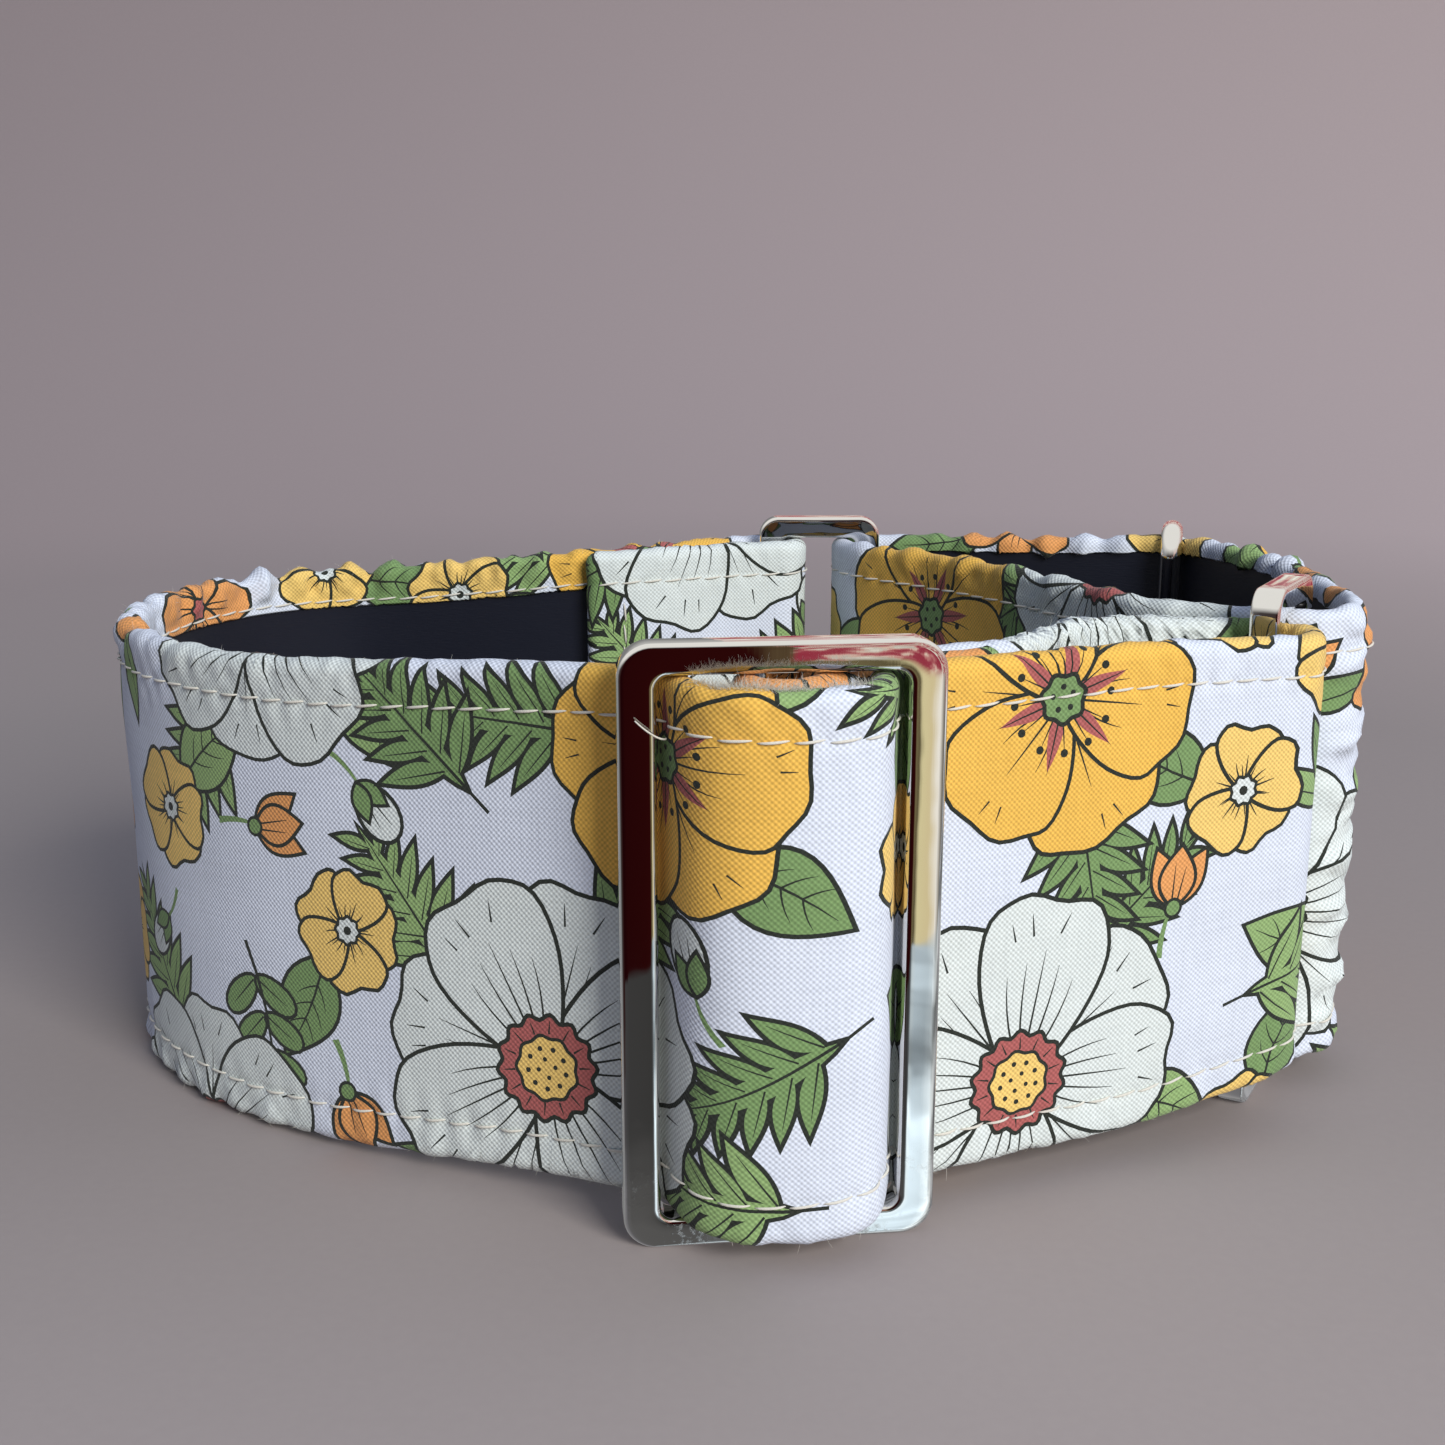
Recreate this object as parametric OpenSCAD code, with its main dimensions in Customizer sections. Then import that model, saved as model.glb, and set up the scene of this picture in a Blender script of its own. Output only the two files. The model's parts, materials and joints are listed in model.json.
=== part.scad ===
// House martingale collar, standing on its edge as if laid on a table.
// One wide lined strap runs through a slider and two rectangular rings, and a
// closed control loop joins the rings and carries the D-ring for the lead.
// Plan view: X to the right, Y towards the back of the collar, Z up.

/* [Strap layers] */
// Finished width of the strap and of the control loop
strap_w = 50; // [44:0.5:56]
// Thickness of the printed cotton shell
shell_t = 0.5; // [0.35:0.05:0.6]
// Thickness of the webbing inside
webbing_t = 1.2; // [0.9:0.1:1.5]
// Thickness of the satin lining
lining_t = 0.4; // [0.25:0.05:0.55]
// Width of the shell's border that is turned in over the lining
hem_w = 4; // [3:0.25:6]
// Width of the shell's solid rolled edge beside the webbing
edge_roll = 1; // [0.8:0.1:1.6]
// Thickness of the shell folded over the strap's two cut ends
end_fold_t = 0.6; // [0.5:0.05:1]
// Play between two layers that are sewn together
layer_gap = 0.04; // [0.02:0.01:0.08]

/* [Fits] */
// Clearance between fabric and the metal or fabric that it runs on
fabric_gap = 0.3; // [0.2:0.05:0.45]
// Clearance between a strap edge and the end bar of its window
edge_gap = 0.2; // [0.15:0.05:0.5]

/* [Slider] */
// Overall width of the slider
slider_w = 28.6; // [27.6:0.2:32]
// Width of the slider's two side bars
slider_side_bar = 3.4; // [2.8:0.1:3.8]
// Height of the slider's two end bars
slider_end_bar = 2.8; // [2.4:0.1:3.2]
// Thickness of the slider's frame
slider_t = 3; // [2.4:0.1:3.4]
// Width of the centre bar
centre_bar_w = 3.2; // [2.6:0.1:3.6]
// Thickness of the centre bar
centre_bar_t = 2; // [1.6:0.1:2.6]
// Radius of the slider's outer corners
slider_corner_r = 3; // [2:0.25:4]
// Radius of the slider's window corners
slider_window_r = 1.2; // [0.8:0.1:2]

/* [Rings] */
// Clear length between the two side bars of a ring
ring_gap = 10; // [9.4:0.1:12]
// Width of the two side bars of a ring
ring_bar = 3.2; // [2.8:0.1:3.6]
// Height of the two end bars of a ring
ring_end_bar = 2.8; // [2.4:0.1:3.2]
// Thickness of both rings
ring_t = 3; // [2.6:0.1:3.4]
// Radius of the outer corners of the rings
ring_corner_r = 2.6; // [1.8:0.2:3.2]
// Radius of the window corners of the rings
ring_window_r = 1; // [0.6:0.1:1.6]
// Depth to which the long edges of slider and rings are rounded off
edge_cut = 0.3; // [0.1:0.05:0.4]

/* [D-ring] */
// Diameter of the D-ring's wire
d_wire = 2.8; // [2.4:0.1:3.2]
// Bend radius of the wire at both ends of the straight bar
d_bend_r = 3; // [2.4:0.1:4.8]
// Distance from the straight bar's axis to the centre of the bow
d_bow_offset = 5; // [5:0.5:12]
// Direction in which the bow points, from +X
d_turn = 75; // [30:1:110]

/* [Where things stand] */
// Slider centre, along X
slider_x = 4.6; // [2:0.1:7]
// Slider centre, along Y
slider_y = -52.9; // [-55:0.1:-51]
// Turn of the slider
slider_turn = 6.6; // [3:0.2:10]
// Direction of the front run to the right of the slider
front_run_turn = 22.3; // [20:0.1:25]
// Direction in which the strap leaves the slider to the left
left_run_turn = -25; // [-32:1:-22]
// Near bar of the front ring, along X
front_ring_x = 54.6; // [53:0.1:56]
// Near bar of the front ring, along Y
front_ring_y = -25.8; // [-27:0.1:-25]
// Direction from the front ring's near bar to its far bar
front_ring_turn = 60; // [54:1:66]
// Strap bar of the back ring, along X
back_ring_x = 6.2; // [4:0.1:8]
// Strap bar of the back ring, along Y
back_ring_y = 38.8; // [37:0.1:40]
// Direction in which the strap comes out of its fold on the back ring
back_run_turn = 196; // [192:1:200]
// Straight bar of the D-ring, along X
d_ring_x = 58.7; // [56:0.1:61]
// Straight bar of the D-ring, along Y
d_ring_y = 28.2; // [26:0.1:30]

/* [How the fabric lies] */
// Inner radius of the strap's loose fold round the front ring
front_fold_r = 3.7; // [3.4:0.1:4.2]
// Inner radius of the control loop's loose turn round the front ring
loop_turn_r = 5; // [4.6:0.1:5.2]
// How far the strap sinks at the left end, where no metal holds it up
left_drop = 2.6; // [0:0.1:2.7]
// Length of the strap's end that is sewn back inside at the back ring
tab_len = 27; // [22:0.5:30]
// Length of the strap's end that is sewn back at the slider
tail_len = 10; // [6:0.5:10.5]
// Widest distance between the front run and the return run behind it
return_bow = 13.3; // [11:0.1:14]

/* [Hidden] */

// Thickness of the finished strap: shell, webbing, lining and turned-in shell
strap_t = 2 * shell_t + webbing_t + lining_t;
// Pitch of two strap layers that lie against each other
layer_pitch = strap_t + fabric_gap;
// Window height of all metal parts
window_h = strap_w + 2 * edge_gap;
// Softening of the strap's corners
round_t = 0.36 * strap_t;
// Half the D-ring's height at its wire's axis: the inside of the bent wire
// clears the strap's corners
d_corner_x = d_wire / 2 + fabric_gap + round_t;
d_corner_z = sqrt(max(0, pow(d_bend_r - d_wire / 2, 2) - pow(d_bend_r - d_corner_x, 2)));
d_half_h = max(window_h / 2 + d_wire / 2,
  strap_w / 2 + edge_gap / 2 + d_bend_r - d_corner_z);
// Mid-height of the strap: the tallest metal part stands on z = 0
mid_z = max(window_h / 2 + max(slider_end_bar, ring_end_bar), d_half_h + d_wire / 2);

// ---- Fabric folds: radii of the strap's middle line ----
// Reach of a bar's rounded edges from its own axis
function bar_reach(w, t) = norm([w, t]) / 2 - edge_cut;
ring_reach = bar_reach(ring_bar, ring_t);
side_bar_r = bar_reach(slider_side_bar, slider_t) + fabric_gap + strap_t / 2;
wrap_r = bar_reach(centre_bar_w, centre_bar_t) + strap_t / 2 + fabric_gap / 2;
crossing_r = wrap_r + layer_pitch;
back_fold_r = ring_reach + fabric_gap + strap_t / 2;
front_fold_mid_r = front_fold_r + strap_t / 2;
loop_turn_mid_r = loop_turn_r + strap_t / 2;
d_fold_r = d_wire / 2 + fabric_gap + strap_t / 2;

// ---- Plan positions ----
function along(a) = [cos(a), sin(a)];
slider_at = [slider_x, slider_y];
side_bar_pitch = (slider_w - slider_side_bar) / 2;
left_bar_at = slider_at - side_bar_pitch * along(slider_turn);
right_bar_at = slider_at + side_bar_pitch * along(slider_turn);
ring_pitch = ring_gap + ring_bar;
front_ring_at = [front_ring_x, front_ring_y];
front_far_bar_at = front_ring_at + ring_pitch * along(front_ring_turn);
back_ring_at = [back_ring_x, back_ring_y];
back_loop_bar_at = back_ring_at + [ring_pitch, 0];
d_ring_at = [d_ring_x, d_ring_y];
// The near bar is pulled into the far side of the strap's loose fold
pull_turn = 52;
front_fold_at = front_ring_at
  - (front_fold_r - ring_reach - fabric_gap) * along(pull_turn);

// ---- Paths of the fabric's middle line, as [x, y, direction] ----
// Turn on a circle from one direction to another
function turn_path(c, r, from, to, steps) =
  let (side = to > from ? -90 : 90)
  [for (i = [0:steps])
    let (a = from + (to - from) * i / steps, p = c + r * along(a + side))
    [p[0], p[1], a]];

// Free run between two points, as a curve that leaves and arrives in their
// directions; slack sets how far the run follows each of them
function free_run(a, b, steps, slack = [0.36, 0.36]) =
  let (
    p0 = [a[0], a[1]],
    p3 = [b[0], b[1]],
    p1 = p0 + norm(p3 - p0) * slack[0] * along(a[2]),
    p2 = p3 - norm(p3 - p0) * slack[1] * along(b[2]))
  [for (i = [1:steps - 1])
    let (
      t = i / steps,
      u = 1 - t,
      p = u * u * u * p0 + 3 * u * u * t * p1 + 3 * u * t * t * p2 + t * t * t * p3,
      d = u * u * (p1 - p0) + 2 * u * t * (p2 - p1) + t * t * (p3 - p2))
    [p[0], p[1], atan2(d[1], d[0])]];

function first(path) = path[0];
function last(path) = path[len(path) - 1];
// Point beside a path's point: forward along it, then to its left
function beside(p, forward, left, turn = 0) =
  let (q = [p[0], p[1]] + forward * along(p[2]) + left * along(p[2] + 90))
  [q[0], q[1], p[2] + turn];

// Steepest direction of the strap between a side bar and the centre bar
slot_turn = asin((side_bar_r + crossing_r) / side_bar_pitch);
// Direction of the return run between the right bar and the centre bar
return_reach = side_bar_r + 2 * layer_pitch;
return_turn = 180 + slider_turn + asin((return_reach - wrap_r) / side_bar_pitch);

// Where the strap has no metal to rest on, it follows these points
left_end = [-67.8, -0.7, -87];
left_back = [-45.5, 28.9, 183];
tab_start = [-19.5, 28.6, 189];

back_fold = turn_path(back_ring_at, back_fold_r, back_run_turn - 186, back_run_turn, 9);
left_bar_turn = turn_path(left_bar_at, side_bar_r, left_run_turn, slider_turn - slot_turn, 2);
crossing = turn_path(slider_at, crossing_r, slider_turn - slot_turn, slider_turn + slot_turn, 8);
right_bar_turn = turn_path(right_bar_at, side_bar_r, slider_turn + slot_turn, front_run_turn, 4);
front_fold = turn_path(front_fold_at, front_fold_mid_r, front_run_turn, front_run_turn + 178, 10);
return_mid = beside(last(right_bar_turn), 28, return_bow, 190);
return_end = beside(last(right_bar_turn), 11.5, 2 * layer_pitch, 180);
return_bar_turn = turn_path(right_bar_at, return_reach, front_run_turn + 180, return_turn, 2);
wrap = turn_path(slider_at, wrap_r, return_turn, 360 + slider_turn + slot_turn, 11);
tail_turn = turn_path(right_bar_at, side_bar_r + layer_pitch,
  slider_turn + slot_turn, front_run_turn, 3);
tab_end = beside(tab_start, tab_len - 27, layer_pitch, 180);

strap_path = concat(
  [tab_end],
  free_run(tab_end, first(back_fold), 5),
  back_fold,
  free_run(last(back_fold), tab_start, 5),
  [tab_start],
  free_run(tab_start, left_back, 5),
  [left_back],
  free_run(left_back, left_end, 8, [0.39, 0.39]),
  [left_end],
  free_run(left_end, first(left_bar_turn), 12, [0.34, 0.44]),
  left_bar_turn,
  crossing,
  right_bar_turn,
  free_run(last(right_bar_turn), first(front_fold), 4),
  front_fold,
  free_run(last(front_fold), return_mid, 4),
  [return_mid],
  free_run(return_mid, return_end, 5),
  [return_end],
  return_bar_turn,
  wrap,
  tail_turn,
  [beside(last(tail_turn), tail_len, 0)]);

// The control loop is closed: out of the back ring, along the inside, round
// the front ring's far bar, and back along the outside past the D-ring
loop_inner_back = [27, 21.6, -56];
loop_inner_front = [43.5, -10.4, -66];
back_loop_fold = turn_path(back_loop_bar_at, back_fold_r, 172, 282, 6);
front_loop_turn = turn_path(front_far_bar_at, loop_turn_mid_r, -22, 88, 7);
d_fold = turn_path(d_ring_at, d_fold_r, 118, 165, 4);
loop_path = concat(
  back_loop_fold,
  free_run(last(back_loop_fold), loop_inner_back, 4),
  [loop_inner_back],
  free_run(loop_inner_back, loop_inner_front, 5),
  [loop_inner_front],
  free_run(loop_inner_front, first(front_loop_turn), 4, [0.36, 0.45]),
  front_loop_turn,
  free_run(last(front_loop_turn), first(d_fold), 7),
  d_fold,
  free_run(last(d_fold), first(back_loop_fold), 5));

// The strap sinks smoothly towards its left end
function ease(t) = let (u = min(max(t, 0), 1)) u * u * (3 - 2 * u);
drop_start = 8;
drop_run = 44;
function strap_z(x) = mid_z - left_drop * ease((-x - drop_start) / drop_run);

// ---- Sections, as [outwards, upwards] from the strap's middle line ----
half_t = strap_t / 2;
half_w = strap_w / 2;

// Outline of the shell, with softened edges and ending at the two hems
hem_z = half_w - hem_w;
outline = [
  [-half_t, -hem_z], [-half_t, round_t - half_w],
  [round_t - half_t, -half_w], [half_t - round_t, -half_w],
  [half_t, round_t - half_w], [half_t, half_w - round_t],
  [half_t - round_t, half_w], [round_t - half_t, half_w],
  [-half_t, half_w - round_t], [-half_t, hem_z]];

// Pocket inside the shell: room for webbing and lining, open between the hems
shell_in = half_t - shell_t;
pocket_z = half_w - edge_roll;
pocket = [
  [-shell_in, hem_z], [-shell_in, pocket_z], [shell_in, pocket_z],
  [shell_in, -pocket_z], [-shell_in, -pocket_z], [-shell_in, -hem_z]];

function band(inner, outer, half) =
  [[inner, half], [inner, -half], [outer, -half], [outer, half]];
webbing_section = band(shell_in - webbing_t + layer_gap, shell_in - layer_gap,
  pocket_z - layer_gap);
lining_section = band(-shell_in + layer_gap, lining_t - shell_in - layer_gap,
  pocket_z - 2 * layer_gap);

// ---- Meshes ----
// Two triangles for each side between two rings of points that start at a and b
function side_faces(a, b, size) =
  [for (j = [0:size - 1], half = [0, 1])
    let (k = (j + 1) % size)
    half == 0 ? [a + j, a + k, b + k] : [a + j, b + k, b + j]];
function wall_faces(rings, size, closed, start = 0) =
  [for (i = [0:rings - (closed ? 1 : 2)])
    each side_faces(start + i * size, start + ((i + 1) % rings) * size, size)];

// Points of a section carried along a path; a flat strap has no sunken end
function carried(path, section, flat) =
  [for (p = path, q = section)
    [p[0] + q[0] * sin(p[2]), p[1] - q[0] * cos(p[2]),
      (flat ? mid_z : strap_z(p[0])) + q[1]]];
// Triangles of a flat face that fan out from its first corner
function fan(start, corners, flip = false) =
  [for (i = [1:len(corners) - 2])
    let (a = start + corners[0], b = start + corners[i], c = start + corners[i + 1])
    flip ? [c, b, a] : [a, b, c]];

// Solid section swept along a path
module swept(path, section, closed = false, flat = false) {
  size = len(section);
  corners = [for (j = [0:size - 1]) j];
  caps = closed ? [] :
    concat(fan(0, corners, true), fan((len(path) - 1) * size, corners));
  polyhedron(carried(path, section, flat),
    concat(wall_faces(len(path), size, closed), caps), convexity = 8);
}

// Shell swept along a closed path
module closed_shell(path) {
  swept(path, concat(outline, pocket), closed = true, flat = true);
}

// Shell swept along an open path, folded over the two cut ends
module ended_shell(path) {
  rim = len(outline);
  size = rim + len(pocket);
  end = rim + (len(path) - 1) * size;
  tip = end + size;
  cap = [4, 5, 6, 7, 8, 9, 0, 1, 2, 3];
  pocket_end = [13, 12, 11, 10, 15, 14];
  slot_end = [9, 0, 15, 10];
  points = concat(
    carried([beside(first(path), -end_fold_t, 0)], outline, false),
    carried(path, concat(outline, pocket), false),
    carried([beside(last(path), end_fold_t, 0)], outline, false));
  faces = concat(
    fan(0, cap, true),
    side_faces(0, rim, rim),
    fan(rim, pocket_end),
    fan(rim, slot_end),
    wall_faces(len(path), size, false, rim),
    fan(end, pocket_end, true),
    fan(end, slot_end, true),
    side_faces(end, tip, rim),
    fan(tip, cap));
  polyhedron(points, faces, convexity = 8);
}

// ---- Strap ----
module strap_shell() {
  color("lavender") ended_shell(strap_path);
}

module strap_webbing() {
  color("dimgray") swept(strap_path, webbing_section);
}

module strap_lining() {
  color("midnightblue") swept(strap_path, lining_section);
}

// ---- Metal parts ----
// Upright bar with flat faces; its long edges are arcs about its own axis
module upright_bar(w, t, h) {
  intersection() {
    cube([w, t, h], center = true);
    cylinder(r = bar_reach(w, t), h = h, center = true, $fn = 48);
  }
}

// Upright plate with rounded corners
module rounded_plate(w, t, h, r) {
  cube([w - 2 * r, t, h], center = true);
  cube([w, t, h - 2 * r], center = true);
  for (sx = [-1, 1], sz = [-1, 1])
    translate([sx * (w / 2 - r), 0, sz * (h / 2 - r)])
    rotate([90, 0, 0])
    cylinder(r = r, h = t, center = true, $fn = 48);
}

// Cast rectangular frame whose four bars have rounded long edges
module cast_frame(window_w, bar_w, end_bar, t, corner_r, window_r) {
  w = window_w + 2 * bar_w;
  h = window_h + 2 * end_bar;
  intersection() {
    difference() {
      rounded_plate(w, t, h, corner_r);
      rounded_plate(window_w, t + 1, window_h, window_r);
    }
    union() {
      for (side = [-1, 1]) {
        translate([side * (w - bar_w) / 2, 0, 0])
          cylinder(r = bar_reach(bar_w, t), h = h, center = true, $fn = 48);
        translate([0, 0, side * (h - end_bar) / 2])
          rotate([0, 90, 0])
          cylinder(r = bar_reach(end_bar, t), h = w, center = true, $fn = 48);
      }
    }
  }
}

module slider() {
  color("silver")
    translate([slider_x, slider_y, mid_z])
    rotate(slider_turn) {
      cast_frame(slider_w - 2 * slider_side_bar, slider_side_bar, slider_end_bar,
        slider_t, slider_corner_r, slider_window_r);
      upright_bar(centre_bar_w, centre_bar_t, window_h + slider_end_bar);
    }
}

// Both rings are alike; the strap bar stands at the ring's own origin
module strap_ring(at, turn) {
  color("silver")
    translate([at[0], at[1], mid_z])
    rotate(turn)
    translate([ring_pitch / 2, 0, 0])
    cast_frame(ring_gap, ring_bar, ring_end_bar, ring_t, ring_corner_r, ring_window_r);
}

module front_ring() {
  strap_ring(front_ring_at, front_ring_turn);
}

module back_ring() {
  strap_ring(back_ring_at, 0);
}

// ---- Control loop ----
module loop_shell() {
  color("lavender") closed_shell(loop_path);
}

module loop_webbing() {
  color("dimgray") swept(loop_path, webbing_section, closed = true, flat = true);
}

module loop_lining() {
  color("midnightblue") swept(loop_path, lining_section, closed = true, flat = true);
}

// ---- D-ring: one bent wire with a straight bar inside the control loop ----
// Wire bent about the origin in the XZ plane
module wire_bend(r, from, angle) {
  rotate([90, 0, 0])
    rotate([0, 0, from])
    rotate_extrude(angle = angle, $fn = 96)
    translate([r, 0])
    circle(d = d_wire, $fn = 32);
}

module d_ring() {
  bar_half = d_half_h - d_bend_r;
  color("silver")
    translate([d_ring_x, d_ring_y, mid_z])
    rotate(d_turn) {
      translate([0, 0, -bar_half])
        cylinder(d = d_wire, h = 2 * bar_half, $fn = 32);
      for (side = [-1, 1]) {
        translate([d_bend_r, 0, side * bar_half])
          wire_bend(d_bend_r, side > 0 ? 90 : 180, 90);
        translate([d_bend_r, 0, side * d_half_h])
          rotate([0, 90, 0])
          cylinder(d = d_wire, h = d_bow_offset - d_bend_r, $fn = 32);
      }
      translate([d_bow_offset, 0, 0])
        wire_bend(d_half_h, -90, 180);
    }
}

strap_shell();
strap_webbing();
strap_lining();
slider();
front_ring();
back_ring();
loop_shell();
loop_webbing();
loop_lining();
d_ring();
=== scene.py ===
import json
import math

import bpy
import numpy as np
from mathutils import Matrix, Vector
from mathutils.geometry import delaunay_2d_cdt


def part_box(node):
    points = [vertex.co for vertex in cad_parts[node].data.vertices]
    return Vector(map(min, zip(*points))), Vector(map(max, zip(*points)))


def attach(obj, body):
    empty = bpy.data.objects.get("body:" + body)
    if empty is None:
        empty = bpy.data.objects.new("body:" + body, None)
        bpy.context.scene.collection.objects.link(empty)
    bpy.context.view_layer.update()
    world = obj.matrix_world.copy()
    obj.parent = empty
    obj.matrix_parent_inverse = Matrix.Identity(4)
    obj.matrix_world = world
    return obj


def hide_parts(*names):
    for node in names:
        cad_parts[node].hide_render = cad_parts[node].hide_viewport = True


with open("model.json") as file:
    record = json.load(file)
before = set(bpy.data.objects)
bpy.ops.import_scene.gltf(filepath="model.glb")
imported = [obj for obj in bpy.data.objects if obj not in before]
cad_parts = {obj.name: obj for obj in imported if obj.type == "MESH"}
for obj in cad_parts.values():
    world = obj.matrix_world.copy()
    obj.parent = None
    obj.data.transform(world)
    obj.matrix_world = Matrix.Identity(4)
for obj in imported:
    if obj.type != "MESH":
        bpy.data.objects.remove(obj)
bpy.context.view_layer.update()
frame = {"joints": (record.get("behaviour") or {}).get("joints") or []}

# Looks of the house martingale collar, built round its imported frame.
# Lengths are millimetres until they go into a mesh, and directions are degrees.
MM = 0.001

# ---- Sizes from the frame ----


def size_of(node):
    """Lowest and highest corner of a CAD node, in millimetres."""
    low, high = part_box(node)
    return np.array(low) / MM, np.array(high) / MM


def axis_of(joint_name):
    """Plan position of a joint's upright axis, in millimetres."""
    joint = next(j for j in frame["joints"] if j["name"] == joint_name)
    return np.array(joint["pos_m"][:2]) / MM


LOOP_LOW, LOOP_HIGH = size_of("loop_shell")
SLIDER_LOW, SLIDER_HIGH = size_of("slider")
HALF_W = (LOOP_HIGH[2] - LOOP_LOW[2]) / 2
MID_Z = (LOOP_HIGH[2] + LOOP_LOW[2]) / 2
METAL_H = SLIDER_HIGH[2] - SLIDER_LOW[2]
SLIDER_AT = ((SLIDER_LOW + SLIDER_HIGH) / 2)[:2]
BACK_RING_AT = axis_of("back_ring_swing")
LOOP_BAR_AT = axis_of("control_loop_swing")
FRONT_RING_AT = axis_of("front_ring_swing")
D_RING_AT = axis_of("d_ring_swing")

# ---- Sizes of the hardware, as in the CAD model ----
FABRIC_GAP = 0.3
SLIDER_W = 28.6
SLIDER_SIDE_BAR = 3.4
SLIDER_T = 3.0
SLIDER_TURN = 6.6
CENTRE_BAR_W = 3.2
CENTRE_BAR_T = 2.0
RING_PITCH = LOOP_BAR_AT[0] - BACK_RING_AT[0]
RING_BAR = 3.2
RING_T = 3.0
FRONT_RING_TURN = 60.0
END_BAR = 2.8
EDGE_CUT = 0.3
D_WIRE = 2.8
D_BEND_R = 3.0
D_BOW_OFFSET = 5.0
D_TURN = 75.0
D_HALF_H = 26.6

# ---- Sizes of the fabric ----
STRAP_T = 2.6
LAYER_PITCH = STRAP_T + FABRIC_GAP
HALF_T = STRAP_T / 2
FRONT_RUN_TURN = 22.3
LEFT_RUN_TURN = -25.0
BACK_RUN_TURN = 196.0
FRONT_FOLD_R = 3.7
LOOP_TURN_R = 5.0
PULL_TURN = 52.0
RETURN_BOW = 13.3
TAIL_LEN = 10.0
LEFT_DROP = 2.6
DROP_START = 8.0
DROP_RUN = 44.0


def bar_reach(width, thick):
    return math.hypot(width, thick) / 2 - EDGE_CUT


RING_REACH = bar_reach(RING_BAR, RING_T)
SIDE_BAR_R = bar_reach(SLIDER_SIDE_BAR, SLIDER_T) + FABRIC_GAP + HALF_T
WRAP_R = bar_reach(CENTRE_BAR_W, CENTRE_BAR_T) + HALF_T + FABRIC_GAP / 2
CROSSING_R = WRAP_R + LAYER_PITCH
BACK_FOLD_R = RING_REACH + FABRIC_GAP + HALF_T
D_FOLD_R = D_WIRE / 2 + FABRIC_GAP + HALF_T
SIDE_BAR_PITCH = (SLIDER_W - SLIDER_SIDE_BAR) / 2
SLOT_TURN = math.degrees(math.asin((SIDE_BAR_R + CROSSING_R) / SIDE_BAR_PITCH))
RETURN_REACH = SIDE_BAR_R + 2 * LAYER_PITCH
RETURN_TURN = 180 + SLIDER_TURN + math.degrees(
    math.asin((RETURN_REACH - WRAP_R) / SIDE_BAR_PITCH))

# ---- The fabric's route in plan: rows of x, y and direction ----
ROUTE_STEP = 0.25
ABOVE_FLOOR = 0.02
DIVE_TURN = 70.0


def along(turn):
    return np.array([math.cos(math.radians(turn)), math.sin(math.radians(turn))])


LEFT_BAR_AT = SLIDER_AT - SIDE_BAR_PITCH * along(SLIDER_TURN)
RIGHT_BAR_AT = SLIDER_AT + SIDE_BAR_PITCH * along(SLIDER_TURN)
FRONT_FAR_BAR_AT = FRONT_RING_AT + RING_PITCH * along(FRONT_RING_TURN)
FRONT_FOLD_AT = FRONT_RING_AT - (FRONT_FOLD_R - RING_REACH - FABRIC_GAP) * along(PULL_TURN)


def turn_path(centre, radius, start, stop):
    """Rows on a circle, from one direction to another."""
    side = -90 if stop > start else 90
    count = math.ceil(radius * math.radians(abs(stop - start)) / ROUTE_STEP) + 1
    turns = np.linspace(start, stop, max(count, 3))
    spokes = np.radians(turns + side)
    return np.column_stack([
        centre[0] + radius * np.cos(spokes), centre[1] + radius * np.sin(spokes), turns])


def bezier(points, t):
    """Cubic curve through the first and last of four points."""
    p0, p1, p2, p3 = points
    s = 1 - t
    return s**3 * p0 + 3 * s * s * t * p1 + 3 * s * t * t * p2 + t**3 * p3


def free_run(a, b, slack):
    """Rows of a curve between two rows that leaves and arrives in their directions."""
    p0, p3 = np.array(a[:2]), np.array(b[:2])
    reach = np.linalg.norm(p3 - p0)
    p1 = p0 + reach * slack[0] * along(a[2])
    p2 = p3 - reach * slack[1] * along(b[2])
    count = math.ceil(reach / ROUTE_STEP) + 2
    t = np.linspace(0, 1, count)[1:-1, None]
    s = 1 - t
    d = s * s * (p1 - p0) + 2 * s * t * (p2 - p1) + t * t * (p3 - p2)
    turns = np.degrees(np.arctan2(d[:, 1], d[:, 0]))
    return np.column_stack([bezier((p0, p1, p2, p3), t), turns])


def linked(parts):
    """Parts of a route, where a slack stands for the free run to the next part."""
    whole = []
    for k, (name, rows) in enumerate(parts):
        if isinstance(rows, tuple):
            before, after = parts[k - 1][1], parts[(k + 1) % len(parts)][1]
            rows = free_run(before[-1], after[0], rows)
        whole.append((name, rows))
    return whole


def beside(row, forward, left, turn=0):
    """A row that lies ahead of another one and to its left, turned by an angle."""
    p = row[:2] + forward * along(row[2]) + left * along(row[2] + 90)
    return np.array([p[0], p[1], row[2] + turn])


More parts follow.
